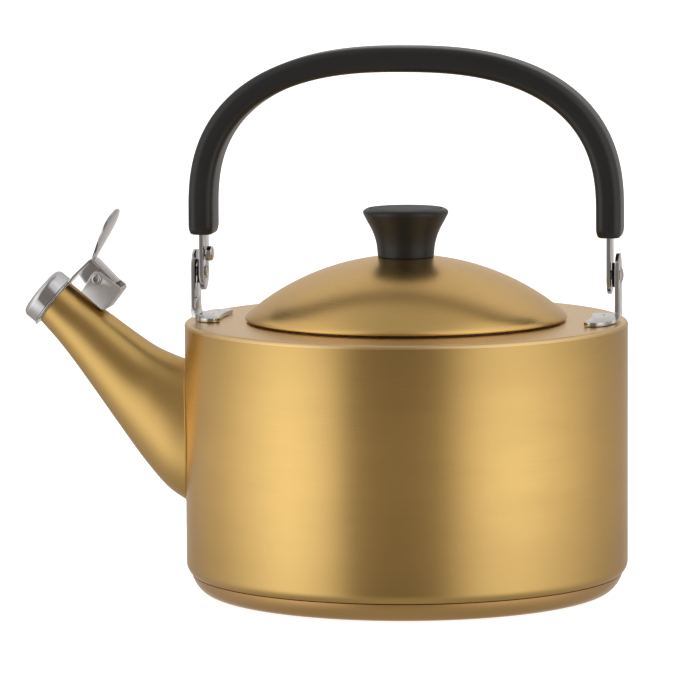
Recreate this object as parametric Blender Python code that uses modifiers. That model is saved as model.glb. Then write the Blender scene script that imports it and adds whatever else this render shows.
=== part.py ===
"""Stovetop whistling kettle with a flip-up whistle, a lift-off lid and a folding bail handle.

Frame: the origin is the centre of the base on the body's axis, +Z is up and the spout points to -X.
The handle stands in the XZ plane. Every length below is in millimetres; meshes are built in metres.
"""

import math

import bmesh
import bpy
from mathutils import Matrix, Vector

MM = 0.001
GAP = 0.3  # left between two pieces that touch, on every side

# Turned shapes: facets round a full turn.
STEPS_LARGE = 44
STEPS_KNOB = 32
STEPS_SMALL = 20

# Body and base.
BODY_RADIUS = 90.0
BODY_WALL = 0.8
SEAM_Z = 7.4  # the body's floor, over the seam
SHELL_TOP_Z = 108.6
BODY_CORNER_Z = 12.4
BODY_CORNER_RADIUS = 6.0
FLOOR_RADIUS = 88.0
BASE_RADIUS = 88.6
BASE_FLAT_RADIUS = 76.5
BASE_TOP_Z = 6.9
BASE_WALL = 0.6
CORE_TOP_Z = 7.1

# Shoulder plate, with the rolled edge outside the wall and the neck of the lid opening.
SHOULDER_Z = 110.3
SHOULDER_WALL = 0.6
RIM_RADIUS = 90.4
RIM_CORNER = 1.0
RIM_BOTTOM_Z = 108.9
NECK_RADIUS = 60.0
NECK_BOTTOM_Z = 104.5

# Lid: the dome is a part of a sphere.
DOME_RADIUS = 100.0
DOME_CENTRE_Z = 36.9
DOME_WALL = 0.7
LID_RADIUS = 65.4
LID_BOTTOM_Z = 110.7
SKIRT_RADIUS = 59.4
SKIRT_WALL = 0.6
SKIRT_BOTTOM_Z = 101.0
SKIRT_FLANGE_RADIUS = 62.5

# Knob: (radius, z) down its outer side, from the top edge to the foot.
KNOB_SIDE = (
    (15.7, 156.0), (16.9, 155.3), (17.3, 154.1), (16.0, 151.4), (13.5, 146.6), (12.0, 141.8), (11.4, 136.5),
)
KNOB_RECESS_RADIUS = 14.9
KNOB_RECESS_Z = 154.7
KNOB_CAP_THICKNESS = 1.1
KNOB_BORE_RADIUS = 2.4
KNOB_BORE_BOTTOM_Z = 137.3  # the foot is hollowed to clear the dome
KNOB_BORE_TOP_Z = 151.5
SCREW_RADIUS = 2.0
SCREW_HEAD_RADIUS = 3.6
SCREW_HEAD_HEIGHT = 2.0
SCREW_TOP_Z = 150.0
KNOB_WASHER_RADIUS = 6.0
KNOB_WASHER_THICKNESS = 1.0

# Handle: half a superellipse between two straight legs.
PIVOT_Z = 129.6
BOW_CENTRE_Z = 155.0
BOW_HALF_SPAN = 83.2
BOW_RISE = 61.6
BOW_POWER = 2.5
GRIP_THICKNESS = 10.2
GRIP_DEPTH = 20.0
GRIP_CORNER = 3.6
GRIP_END_Z = 145.0
STRAP_THICKNESS = 1.5
STRAP_WIDTH = 15.4
STUD_Z = 136.8
BOW_STEPS = 26  # facets along the bow

# Pivot hardware, as distances from the middle of the kettle along X.
POST_INNER = 85.8
POST_THICKNESS = 1.5
PIVOT_HOLE_RADIUS = 2.3
RIVET_RADIUS = 2.0
STUD_HOLE_RADIUS = 1.7
STUD_HEAD = ((2.9, 0.0), (2.9, 2.6), (2.3, 3.1), (0.0, 3.1))  # (radius, height over its seat)
RIVET_DOME = ((0.0, 1.2), (1.7, 1.0), (2.9, 0.5), (3.6, 0.0))  # (radius, height over its seat)
RIVET_FLAT = ((2.85, 0.0), (2.3, 0.3), (0.0, 0.4))
RIVET_TAIL = 0.2  # how far the shank stands out of the last plate
WASHER_RADIUS = 5.0
WASHER_THICKNESS = 1.1

# Handle bracket: a bent plate, its foot on the shoulder.
POST_WIDTH = 15.6
POST_TOP_Z = 138.6
FOOT_INNER = 74.2
FOOT_SIDE = (  # (distance out from the foot's inner edge, half width)
    (0.0, 15.9), (0.8, 17.5), (2.6, 18.5), (5.6, 18.3), (8.6, 15.7), (10.4, 10.0), (12.2, 8.4), (16.0, 8.4),
)
POST_FLARE = ((12.0, 2.4), (1.2, 2.9), (0.0, 4.6))  # (beyond the post's half width, above the foot's underside)
BEND_RADIUS = 2.6
TRIM_MARGIN = 2.0  # how far a trimming outline runs past the shape that it trims

# Spout: stations from the mouth to inside the body, as upper (x, z), lower (x, z) and half width.
SPOUT_STATIONS = (
    ((-138.8, 123.9), (-151.2, 108.6), 10.2),
    ((-131.0, 117.7), (-144.2, 100.8), 11.0),
    ((-122.0, 111.3), (-137.6, 92.5), 12.4),
    ((-112.5, 104.4), (-129.3, 81.1), 14.3),
    ((-104.0, 98.7), (-119.2, 67.0), 16.8),
    ((-97.0, 95.4), (-107.4, 51.0), 20.0),
    ((-90.5, 93.2), (-96.6, 39.2), 22.3),
    ((-80.0, 91.2), (-84.0, 32.0), 24.0),
)
SPOUT_WALL = 0.8
SPOUT_SIDES = 22
SPOUT_SUBSTEPS = 2

# Whistle, in the mouth's own frame: r from the mouth's axis, z out of the mouth.
MOUTH_CENTRE = (-145.24, 116.0)
MOUTH_TILT = 38.98  # degrees above the horizontal
RING_INNER_RADIUS = 8.9
RING_RADIUS = 11.9
RING_LOW = 0.3
SHEET = 0.6
CUP_RADIUS = 11.4
CUP_BOTTOM = 1.2
CUP_TOP = 7.3
CUP_CORNER = 2.1
CUP_HOLE_RADIUS = 2.5
DISC_RADIUS = 10.5
DISC_HOLE_RADIUS = 1.2
DISC_THICKNESS = 0.5
INNER_DISC_LOW = 1.2
OUTER_DISC_LOW = 3.9

# Cap lever and its bracket, as (x, z) outlines in the kettle's frame.
LEVER_PIN = (-126.6, 126.4)
LEVER_FOOT = (-138.73, 124.75)
LEVER_KNEE = (-136.6, 127.3)
LEVER_APEX = (-129.0, 134.6)
LEVER_TAIL = (-119.2, 124.6)
LEVER_SHEET = 0.9
LEVER_HALF_WIDTH = 5.6
LEVER_CHEEK = (
    (-134.7, 128.6), (-132.2, 124.8), (-127.6, 121.9), (-122.6, 122.6), (-119.8, 124.3), (-129.0, 133.9),
)
PADDLE_TIP = (-119.5, 153.4)
PADDLE_HALF_WIDTH = 11.6
PADDLE_NECK_HALF_WIDTH = 3.2
PADDLE_LEAST_HALF_WIDTH = 2.4
PADDLE_SKEW = 1.35  # above 1 it moves the leaf's widest place towards the tip
PADDLE_TAPER = 0.45  # above 0 it narrows the leaf towards the root
PADDLE_DISH = 1.1
PADDLE_ROWS = 8
PADDLE_COLUMNS = 6
CHANNEL_FLOOR = ((-133.0, 121.3), (-124.6, 113.9))
CHANNEL_WALL = ((-122.6, 114.1), (-116.6, 121.9))
CHANNEL_TOP = ((-128.8, 128.2), (-127.2, 129.7), (-125.0, 129.4), (-117.2, 123.4))
CHANNEL_OPEN_SIDE = ((-129.0, 143.5), (-109.0, 135.5))  # where the hollow's outline runs above the channel
CHANNEL_SHEET = 1.0
CHANNEL_HALF_WIDTH = 7.0
PIN_RADIUS = 1.2
PIN_HOLE_RADIUS = 1.5
PIN_HEAD_RADIUS = 2.1

SPRING_WIRE_RADIUS = 0.35
SPRING_RADIUS = 2.5
SPRING_TURNS = 3
SPRING_PITCH = 1.5
SPRING_LEG = 5.9


def clear_scene():
    for obj in list(bpy.data.objects):
        bpy.data.objects.remove(obj, do_unlink=True)


def new_collection(name):
    collection = bpy.data.collections.new(name)
    bpy.context.scene.collection.children.link(collection)
    return collection


def new_material(name, colour, roughness, metallic):
    material = bpy.data.materials.new(name)
    material.use_nodes = True
    shader = material.node_tree.nodes["Principled BSDF"]
    shader.inputs["Base Color"].default_value = (*colour, 1.0)
    shader.inputs["Roughness"].default_value = roughness
    shader.inputs["Metallic"].default_value = metallic
    material.diffuse_color = (*colour, 1.0)
    return material


def arc(centre, radius, start, end, count):
    """Points on an arc, with its angles in degrees."""
    points = []
    for index in range(count + 1):
        angle = math.radians(start + (end - start) * index / count)
        points.append((centre[0] + radius * math.cos(angle), centre[1] + radius * math.sin(angle)))
    return points


def add_object(name, mesh, material, collection, matrix=None):
    obj = bpy.data.objects.new(name, mesh)
    if matrix is not None:
        obj.matrix_world = matrix
    if material:
        mesh.materials.append(material)
    collection.objects.link(obj)
    return obj


def add_cutter(obj):
    obj.hide_render = True
    obj.display_type = "WIRE"
    return obj


def smooth(mesh, degrees=35):
    mesh.shade_smooth()
    mesh.set_sharp_from_angle(angle=math.radians(degrees))


def turned(name, profile, material, collection, steps, wall=None, closed=False, matrix=None):
    """A profile of (r, z) points, run down its outer side, turned round the local Z axis."""
    mesh = bpy.data.meshes.new(name)
    verts = [(r * MM, 0.0, z * MM) for r, z in profile]
    edges = [(i, i + 1) for i in range(len(verts) - 1)]
    if closed:
        edges.append((len(verts) - 1, 0))
    mesh.from_pydata(verts, edges, [])
    obj = add_object(name, mesh, material, collection, matrix)
    screw = obj.modifiers.new("Turn", "SCREW")
    screw.axis = "Z"
    screw.steps = steps
    screw.render_steps = steps
    screw.use_merge_vertices = True
    screw.merge_threshold = 0.00001
    screw.use_smooth_shade = True
    if wall:
        shell = obj.modifiers.new("Wall", "SOLIDIFY")
        shell.thickness = wall * MM
        shell.offset = -1.0
        shell.use_even_offset = True
    return obj


def cylinder(name, radius, low, high, collection, matrix=None, steps=STEPS_SMALL, material=None):
    """A plain cylinder along the local Z axis, from low to high."""
    bm = bmesh.new()
    middle = Matrix.Translation((0, 0, (low + high) / 2 * MM))
    bmesh.ops.create_cone(
        bm, cap_ends=True, segments=steps, radius1=radius * MM, radius2=radius * MM,
        depth=(high - low) * MM, matrix=middle,
    )
    mesh = bpy.data.meshes.new(name)
    bm.to_mesh(mesh)
    bm.free()
    smooth(mesh)
    return add_object(name, mesh, material, collection, matrix)


def mesh_of(obj):
    """Replaces a curve object by a mesh object of the same shape, with its caps welded."""
    bpy.context.view_layer.update()
    evaluated = obj.evaluated_get(bpy.context.evaluated_depsgraph_get())
    mesh = bpy.data.meshes.new_from_object(evaluated)
    bm = bmesh.new()
    bm.from_mesh(mesh)
    bmesh.ops.remove_doubles(bm, verts=bm.verts, dist=0.000001)
    bmesh.ops.recalc_face_normals(bm, faces=bm.faces)
    bm.to_mesh(mesh)
    bm.free()
    name, collection, matrix = obj.name, obj.users_collection[0], obj.matrix_world.copy()
    bpy.data.objects.remove(obj, do_unlink=True)
    solid = bpy.data.objects.new(name, mesh)
    solid.matrix_world = matrix
    collection.objects.link(solid)
    return solid


XY_PLANE = Matrix.Identity(4)
XZ_PLANE = Matrix(((1, 0, 0, 0), (0, 0, -1, 0), (0, 1, 0, 0), (0, 0, 0, 1)))
YZ_PLANE = Matrix(((0, 0, 1, 0), (1, 0, 0, 0), (0, 1, 0, 0), (0, 0, 0, 1)))


def plate(name, outline, half_thickness, plane, material, collection):
    """A flat outline, drawn in one of the frame's planes and extruded to both sides of it."""
    curve = bpy.data.curves.new(name, "CURVE")
    curve.dimensions = "2D"
    curve.fill_mode = "BOTH"
    curve.extrude = half_thickness * MM
    spline = curve.splines.new("POLY")
    spline.points.add(len(outline) - 1)
    for point, (x, y) in zip(spline.points, outline):
        point.co = (x * MM, y * MM, 0.0, 1.0)
    spline.use_cyclic_u = True
    if material:
        curve.materials.append(material)
    obj = bpy.data.objects.new(name, curve)
    obj.matrix_world = plane
    collection.objects.link(obj)
    return mesh_of(obj)


def boolean(obj, other, operation="DIFFERENCE"):
    modifier = obj.modifiers.new(operation.title(), "BOOLEAN")
    modifier.operation = operation
    modifier.object = other
    modifier.solver = "EXACT"


def side_matrix(side):
    """Local Z becomes the outward X direction of this side, at the height of the handle's pivots."""
    turn = Matrix.Rotation(math.radians(90 * side), 4, "Y")
    return Matrix.Translation((0, 0, PIVOT_Z * MM)) @ turn


def shifted(matrix, offset):
    return Matrix.Translation(Vector(offset) * MM) @ matrix


def smoothed(stations, substeps):
    """Points on a Catmull-Rom curve through the stations, which are tuples of numbers."""
    result = []
    last = len(stations) - 1
    for index in range(last):
        before, here = stations[max(index - 1, 0)], stations[index]
        there, after = stations[index + 1], stations[min(index + 2, last)]
        for step in range(substeps):
            t = step / substeps
            result.append(tuple(
                0.5 * (2 * b + (c - a) * t + (2 * a - 5 * b + 4 * c - d) * t ** 2
                       + (3 * b - a - 3 * c + d) * t ** 3)
                for a, b, c, d in zip(before, here, there, after)
            ))
    result.append(stations[last])
    return result


def spout_loft(name, inset, capped, material, collection):
    """Oval sections from the mouth to inside the body, joined by faces. Inset narrows each section."""
    flat = [(*upper, *lower, width) for upper, lower, width in SPOUT_STATIONS]
    bm = bmesh.new()
    rings = []
    for upper_x, upper_z, lower_x, lower_z, width in smoothed(flat, SPOUT_SUBSTEPS):
        upper, lower = Vector((upper_x, 0, upper_z)), Vector((lower_x, 0, lower_z))
        centre, reach = (upper + lower) / 2, (upper - lower) / 2
        reach *= (reach.length - inset) / reach.length
        across = Vector((0, width - inset, 0))
        ring = []
        for side in range(SPOUT_SIDES):
            angle = 2 * math.pi * side / SPOUT_SIDES
            ring.append(bm.verts.new((centre + reach * math.cos(angle) + across * math.sin(angle)) * MM))
        rings.append(ring)
    for first, second in zip(rings, rings[1:]):
        for side in range(SPOUT_SIDES):
            after = (side + 1) % SPOUT_SIDES
            bm.faces.new((first[side], second[side], second[after], first[after]))
    if capped:
        bm.faces.new(rings[0])
        bm.faces.new(list(reversed(rings[-1])))
        bmesh.ops.recalc_face_normals(bm, faces=bm.faces)
    mesh = bpy.data.meshes.new(name)
    bm.to_mesh(mesh)
    bm.free()
    smooth(mesh)
    return add_object(name, mesh, material, collection)


def bow_path(end_z):
    """Points (x, z) of the handle's middle line, from one leg over the top to the other."""
    half = []
    for index in range(BOW_STEPS // 2 + 1):
        angle = math.pi / 2 * index / (BOW_STEPS // 2)
        half.append((
            BOW_HALF_SPAN * max(math.cos(angle), 0.0) ** (2 / BOW_POWER),
            BOW_CENTRE_Z + BOW_RISE * math.sin(angle) ** (2 / BOW_POWER),
        ))
    right = [(BOW_HALF_SPAN, end_z)] + half
    return right + [(-x, z) for x, z in reversed(right[:-1])]


def bow(name, width, thickness, corner, end_z, material, collection, cutters, tip_scale=1.0):
    """A section swept along the handle's middle line. Thickness lies in the bow's plane."""
    section = bpy.data.curves.new(name + "_section", "CURVE")
    section.dimensions = "2D"
    spline = section.splines.new("POLY")
    half_w, half_t = width / 2 - corner, thickness / 2 - corner
    outline = []
    if corner:
        for centre, start in (((half_t, half_w), 0), ((-half_t, half_w), 90),
                              ((-half_t, -half_w), 180), ((half_t, -half_w), 270)):
            outline += arc(centre, corner, start, start + 90, 2)
    else:
        outline = [(half_t, half_w), (-half_t, half_w), (-half_t, -half_w), (half_t, -half_w)]
    spline.points.add(len(outline) - 1)
    for point, (x, y) in zip(spline.points, outline):
        point.co = (x * MM, y * MM, 0.0, 1.0)
    spline.use_cyclic_u = True
    guide = add_cutter(bpy.data.objects.new(name + "_section", section))
    cutters.objects.link(guide)

    curve = bpy.data.curves.new(name, "CURVE")
    curve.dimensions = "2D"
    curve.bevel_mode = "OBJECT"
    curve.bevel_object = guide
    curve.use_fill_caps = True
    path = bow_path(end_z)
    spline = curve.splines.new("POLY")
    spline.points.add(len(path) - 1)
    for point, (x, z) in zip(spline.points, path):
        point.co = (x * MM, z * MM, 0.0, 1.0)
    for end in (0, -1):
        spline.points[end].radius = tip_scale
    if material:
        curve.materials.append(material)
    obj = bpy.data.objects.new(name, curve)
    obj.matrix_world = XZ_PLANE
    collection.objects.link(obj)
    return mesh_of(obj)


def base_edge(inset):
    """A quarter ellipse from the base's widest place to its flat underside, moved in by the inset."""
    points = []
    for degrees in (0, 30, 60, 90):
        angle = math.radians(degrees)
        points.append((
            BASE_FLAT_RADIUS + (BASE_RADIUS - BASE_FLAT_RADIUS - inset) * math.cos(angle),
            BASE_TOP_Z - (BASE_TOP_Z - inset) * math.sin(angle),
        ))
    return points


def build_body(steel, kettle, cutters):
    corner = arc((BODY_RADIUS - BODY_CORNER_RADIUS, BODY_CORNER_Z), BODY_CORNER_RADIUS, 0, -48, 2)
    shell = turned(
        "body_shell", [(BODY_RADIUS, SHELL_TOP_Z), *corner, (FLOOR_RADIUS, SEAM_Z), (0.0, SEAM_Z)],
        steel, kettle, STEPS_LARGE, wall=BODY_WALL,
    )
    boolean(shell, add_cutter(spout_loft("spout_passage", SPOUT_WALL, True, None, cutters)))


def build_base(steel, aluminium, kettle):
    """The cap under the body and the heat-spreading disc inside it."""
    turned("base_cap", [*base_edge(0.0), (0.0, 0.0)], steel, kettle, STEPS_LARGE, wall=BASE_WALL)
    clear = BASE_WALL + GAP
    core = [(r - GAP, z) for r, z in base_edge(clear)]
    turned(
        "base_core", [(0.0, CORE_TOP_Z), (core[0][0], CORE_TOP_Z), *core[1:], (0.0, clear)],
        aluminium, kettle, STEPS_LARGE,
    )


def build_shoulder(steel, kettle):
    profile = [
        (NECK_RADIUS, NECK_BOTTOM_Z),
        (NECK_RADIUS, SHOULDER_Z - 1.2),
        (NECK_RADIUS + 1.2, SHOULDER_Z),
        *arc((RIM_RADIUS - RIM_CORNER, SHOULDER_Z - RIM_CORNER), RIM_CORNER, 90, 0, 3),
        (RIM_RADIUS, RIM_BOTTOM_Z),
    ]
    turned("top_plate", profile, steel, kettle, STEPS_LARGE, wall=SHOULDER_WALL)


def dome_z(radius):
    return DOME_CENTRE_Z + math.sqrt(DOME_RADIUS ** 2 - radius ** 2)


def build_lid(steel, black, kettle):
    rim = [(LID_RADIUS, LID_BOTTOM_Z + 0.9), (LID_RADIUS - 0.4, LID_BOTTOM_Z + 0.2)]
    hole = SCREW_RADIUS + GAP
    dome = [(r, dome_z(r)) for r in (hole, 18.0, 34.0, 49.0, 60.0, LID_RADIUS - 0.5)]
    turned("lid_dome", [*dome, *rim], steel, kettle, STEPS_LARGE, wall=DOME_WALL)

    below = 1.25 * (DOME_WALL + GAP + 0.1 + SKIRT_WALL)  # measured upright, under the sloping dome
    turned(
        "lid_skirt",
        [(SKIRT_FLANGE_RADIUS, dome_z(SKIRT_FLANGE_RADIUS) - below), (SKIRT_RADIUS, dome_z(SKIRT_RADIUS) - below),
         (SKIRT_RADIUS, SKIRT_BOTTOM_Z)],
        steel, kettle, STEPS_LARGE, wall=SKIRT_WALL,
    )

    turned(
        "lid_knob",
        [(0.0, KNOB_RECESS_Z), (KNOB_RECESS_RADIUS, KNOB_RECESS_Z), (KNOB_RECESS_RADIUS, KNOB_SIDE[0][1]),
         *KNOB_SIDE, (KNOB_BORE_RADIUS, KNOB_BORE_BOTTOM_Z), (KNOB_BORE_RADIUS, KNOB_BORE_TOP_Z),
         (0.0, KNOB_BORE_TOP_Z)],
        black, kettle, STEPS_KNOB,
    )
    cap_low = KNOB_RECESS_Z + GAP
    turned(
        "knob_cap",
        [(0.0, cap_low + KNOB_CAP_THICKNESS), (KNOB_RECESS_RADIUS - GAP, cap_low + KNOB_CAP_THICKNESS),
         (KNOB_RECESS_RADIUS - GAP, cap_low), (0.0, cap_low)],
        black, kettle, STEPS_KNOB,
    )
    washer_top = dome_z(KNOB_WASHER_RADIUS) - DOME_WALL - 2 * GAP
    washer_low = washer_top - KNOB_WASHER_THICKNESS
    turned(
        "knob_washer",
        [(hole, washer_top), (KNOB_WASHER_RADIUS, washer_top), (KNOB_WASHER_RADIUS, washer_low),
         (hole, washer_low)],
        steel, kettle, STEPS_SMALL, closed=True,
    )
    head_top = washer_low - GAP
    turned(
        "knob_screw",
        [(0.0, SCREW_TOP_Z), (SCREW_RADIUS, SCREW_TOP_Z), (SCREW_RADIUS, head_top),
         (SCREW_HEAD_RADIUS, head_top), (SCREW_HEAD_RADIUS, head_top - 1.2),
         (SCREW_HEAD_RADIUS - 1.0, head_top - SCREW_HEAD_HEIGHT), (0.0, head_top - SCREW_HEAD_HEIGHT)],
        steel, kettle, STEPS_SMALL,
    )


def build_spout(steel, kettle, cutters):
    spout = spout_loft("spout", 0.0, False, steel, kettle)
    shell = spout.modifiers.new("Wall", "SOLIDIFY")
    shell.thickness = SPOUT_WALL * MM
    shell.offset = -1.0
    trim = cylinder(
        "spout_trim", BODY_RADIUS + GAP, 10.0, 100.0, cutters, steps=STEPS_LARGE * 2,
    )
    boolean(spout, add_cutter(trim))


def mouth_matrix():
    """Local Z points out of the mouth, and local X up across it."""
    tilt = math.radians(MOUTH_TILT)
    out = Vector((-math.cos(tilt), 0, math.sin(tilt)))
    up = Vector((math.sin(tilt), 0, math.cos(tilt)))
    across = out.cross(up)
    matrix = Matrix((up, across, out)).transposed().to_4x4()
    matrix.translation = Vector((MOUTH_CENTRE[0], 0, MOUTH_CENTRE[1])) * MM
    return matrix


def offset_line(points, distance):
    """The open line of points moved sideways, to the left of its direction for a positive distance."""
    normals = []
    for (ax, ay), (bx, by) in zip(points, points[1:]):
        length = math.hypot(bx - ax, by - ay)
        normals.append((-(by - ay) / length, (bx - ax) / length))
    moved = []
    for index, (x, y) in enumerate(points):
        before, after = normals[max(index - 1, 0)], normals[min(index, len(normals) - 1)]
        nx, ny = before[0] + after[0], before[1] + after[1]
        scale = 2 * distance / (nx * nx + ny * ny)
        moved.append((x + nx * scale, y + ny * scale))
    return moved


def strip(points, thickness):
    """The closed outline of a bent sheet, with the line of points down its middle."""
    return offset_line(points, thickness / 2) + list(reversed(offset_line(points, -thickness / 2)))


def paddle_half_width(t):
    """Half the leaf's width at a share t of its length, from the narrow root to the round tip."""
    neck = PADDLE_NECK_HALF_WIDTH * (1 - t) ** 2
    leaf = math.sqrt(max(math.sin(math.pi * t ** PADDLE_SKEW), 0.0)) * t ** PADDLE_TAPER
    return max(neck + PADDLE_HALF_WIDTH * leaf, PADDLE_LEAST_HALF_WIDTH)


def build_paddle(material, cutters):
    """A leaf-shaped thumb rest, slightly dished, with its root inside the lever's apex."""
    root = Vector((LEVER_APEX[0], 0, LEVER_APEX[1] - GAP))
    along = Vector((PADDLE_TIP[0], 0, PADDLE_TIP[1])) - root
    facing = along.normalized().cross(Vector((0, 1, 0)))
    bm = bmesh.new()
    rows = []
    for index in range(PADDLE_ROWS):
        t = index / (PADDLE_ROWS - 1)
        half = paddle_half_width(t)
        row = []
        for column in range(PADDLE_COLUMNS + 1):
            share = 2 * column / PADDLE_COLUMNS - 1
            bulge = PADDLE_DISH * (1 - share ** 2) * half / PADDLE_HALF_WIDTH
            point = root + along * t + facing * bulge + Vector((0, half * share, 0))
            row.append(bm.verts.new(point * MM))
        rows.append(row)
    for first, second in zip(rows, rows[1:]):
        for column in range(PADDLE_COLUMNS):
            bm.faces.new((first[column], first[column + 1], second[column + 1], second[column]))
    mesh = bpy.data.meshes.new("paddle_sheet")
    bm.to_mesh(mesh)
    bm.free()
    paddle = add_cutter(add_object("paddle_sheet", mesh, material, cutters))
    shell = paddle.modifiers.new("Sheet", "SOLIDIFY")
    shell.thickness = LEVER_SHEET * MM
    shell.offset = 0.0
    return paddle


def build_whistle(chrome, steel, kettle, cutters):
    mouth = mouth_matrix()
    corner = arc((CUP_RADIUS - CUP_CORNER, CUP_TOP - CUP_CORNER), CUP_CORNER, 90, 0, 3)
    turned(
        "whistle_cap", [(CUP_HOLE_RADIUS, CUP_TOP), *corner, (CUP_RADIUS, CUP_BOTTOM)],
        chrome, kettle, STEPS_SMALL + 4, wall=SHEET, matrix=mouth,
    )
    for name, low in (("whistle_disc_inner", INNER_DISC_LOW), ("whistle_disc_outer", OUTER_DISC_LOW)):
        turned(
            name,
            [(DISC_HOLE_RADIUS, low + DISC_THICKNESS), (DISC_RADIUS, low + DISC_THICKNESS), (DISC_RADIUS, low),
             (DISC_HOLE_RADIUS, low)],
            steel, kettle, STEPS_SMALL, closed=True, matrix=mouth,
        )

    roof = strip([LEVER_FOOT, LEVER_KNEE, LEVER_APEX, LEVER_TAIL], LEVER_SHEET)
    lever = plate("cap_lever", roof, LEVER_HALF_WIDTH, XZ_PLANE, chrome, kettle)
    ring = turned(
        "lever_ring",
        [(RING_INNER_RADIUS, RING_LOW + SHEET), (RING_RADIUS, RING_LOW + SHEET), (RING_RADIUS, RING_LOW),
         (RING_INNER_RADIUS, RING_LOW)],
        None, cutters, STEPS_SMALL + 4, closed=True, matrix=mouth,
    )
    boolean(lever, add_cutter(ring), "UNION")
    for side in (-1, 1):
        middle = side * (LEVER_HALF_WIDTH - LEVER_SHEET / 2)
        cheek = plate(f"lever_cheek_{side}", LEVER_CHEEK, LEVER_SHEET / 2,
                      shifted(XZ_PLANE, (0, middle, 0)), None, cutters)
        boolean(lever, add_cutter(cheek), "UNION")
    boolean(lever, build_paddle(None, cutters), "UNION")
    boolean(lever, add_cutter(pin_bore("lever_pin_bore", cutters)))


def pin_matrix():
    turn = Matrix.Rotation(math.radians(90), 4, "X")
    return Matrix.Translation(Vector((LEVER_PIN[0], 0, LEVER_PIN[1])) * MM) @ turn


def pin_bore(name, cutters):
    return cylinder(name, PIN_HOLE_RADIUS, -9.0, 9.0, cutters, matrix=pin_matrix(), steps=16)


def build_channel(chrome, kettle, cutters):
    """The bracket on the spout: two cheeks, a floor and an end wall, open above and towards the mouth."""
    floor_start, floor_end = CHANNEL_FLOOR
    wall_start, wall_end = CHANNEL_WALL
    outline = [floor_start, *CHANNEL_TOP, wall_end, wall_start, floor_end]
    channel = plate("whistle_bracket", outline, CHANNEL_HALF_WIDTH, XZ_PLANE, chrome, kettle)
    beyond = tuple(2 * near - far for near, far in zip(floor_start, floor_end))
    inside = offset_line([wall_end, wall_start, floor_end, beyond], -CHANNEL_SHEET)
    hollow = plate("bracket_hollow", [*inside, *CHANNEL_OPEN_SIDE], CHANNEL_HALF_WIDTH - CHANNEL_SHEET,
                   XZ_PLANE, None, cutters)
    boolean(channel, add_cutter(hollow))
    boolean(channel, add_cutter(pin_bore("bracket_pin_bore", cutters)))

    length = CHANNEL_HALF_WIDTH + GAP
    head = [(0.0, length + 0.8), (1.4, length + 0.7), (PIN_HEAD_RADIUS, length), (PIN_RADIUS, length)]
    turned("lever_pin", head + [(r, -z) for r, z in reversed(head)], chrome, kettle, 16, matrix=pin_matrix())


def build_spring(steel, kettle):
    """A torsion spring round the pin: one leg towards the channel's floor, one under the lever's tail."""
    curve = bpy.data.curves.new("cap_spring", "CURVE")
    curve.dimensions = "3D"
    curve.bevel_depth = SPRING_WIRE_RADIUS * MM
    curve.bevel_resolution = 1
    curve.use_fill_caps = True
    pin = Vector((LEVER_PIN[0], 0, LEVER_PIN[1]))
    floor_leg, tail_leg = math.radians(-125.0), math.radians(-44.0)
    start, end = floor_leg + math.pi / 2, tail_leg - math.pi / 2 + 2 * math.pi * SPRING_TURNS
    count = 9 * SPRING_TURNS
    coil = []
    for index in range(count + 1):
        angle = start + (end - start) * index / count
        side = SPRING_PITCH * SPRING_TURNS * (index / count - 0.5)
        coil.append(pin + Vector((math.cos(angle), 0, math.sin(angle))) * SPRING_RADIUS + Vector((0, side, 0)))
    first = coil[0] + Vector((math.cos(floor_leg), 0, math.sin(floor_leg))) * SPRING_LEG
    final = coil[-1] + Vector((math.cos(tail_leg), 0, math.sin(tail_leg))) * SPRING_LEG * 0.75
    points = [first, *coil, final]
    spline = curve.splines.new("POLY")
    spline.points.add(len(points) - 1)
    for point, place in zip(spline.points, points):
        point.co = (*(place * MM), 1.0)
    curve.materials.append(steel)
    obj = bpy.data.objects.new("cap_spring", curve)
    kettle.objects.link(obj)


def build_bracket(name, side, chrome, kettle, cutters):
    """An L of bent plate, trimmed in front view to the post and in plan to the foot."""
    post_outer = POST_INNER + POST_THICKNESS
    low = SHOULDER_Z + GAP
    start = FOOT_INNER - TRIM_MARGIN
    bend = (post_outer - BEND_RADIUS, low + BEND_RADIUS)
    profile = [
        (start, low), *arc(bend, BEND_RADIUS, -90, 0, 4), (post_outer, POST_TOP_Z), (POST_INNER, POST_TOP_Z),
        *arc(bend, BEND_RADIUS - POST_THICKNESS, 0, -90, 3), (start, low + POST_THICKNESS),
    ]
    widest = max(half_width for _, half_width in FOOT_SIDE)
    bracket = plate(name, [(side * x, z) for x, z in profile], widest + TRIM_MARGIN, XZ_PLANE, chrome, kettle)

    half = POST_WIDTH / 2
    flare = [(half + out, low + up) for out, up in POST_FLARE]
    edge = [(flare[0][0], low - TRIM_MARGIN), *flare]
    front = edge + arc((0, POST_TOP_Z - half), half, 0, 180, 8) + [(-y, z) for y, z in reversed(edge)]
    middle = side * (FOOT_INNER + post_outer) / 2
    reach = post_outer - FOOT_INNER
    front_cut = plate(name + "_front", front, reach, shifted(YZ_PLANE, (middle, 0, 0)), None, cutters)
    boolean(bracket, add_cutter(front_cut), "INTERSECT")

    outline = [(side * (FOOT_INNER + out), half_width) for out, half_width in FOOT_SIDE]
    plan = outline + [(x, -y) for x, y in reversed(outline)]
    height = POST_TOP_Z - low
    plan_cut = plate(name + "_plan", plan, height, shifted(XY_PLANE, (0, 0, low + height / 2)), None, cutters)
    boolean(bracket, add_cutter(plan_cut), "INTERSECT")
    bore = cylinder(name + "_bore", PIVOT_HOLE_RADIUS, POST_INNER - TRIM_MARGIN, post_outer + TRIM_MARGIN,
                    cutters, matrix=side_matrix(side), steps=16)
    boolean(bracket, add_cutter(bore))


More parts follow.
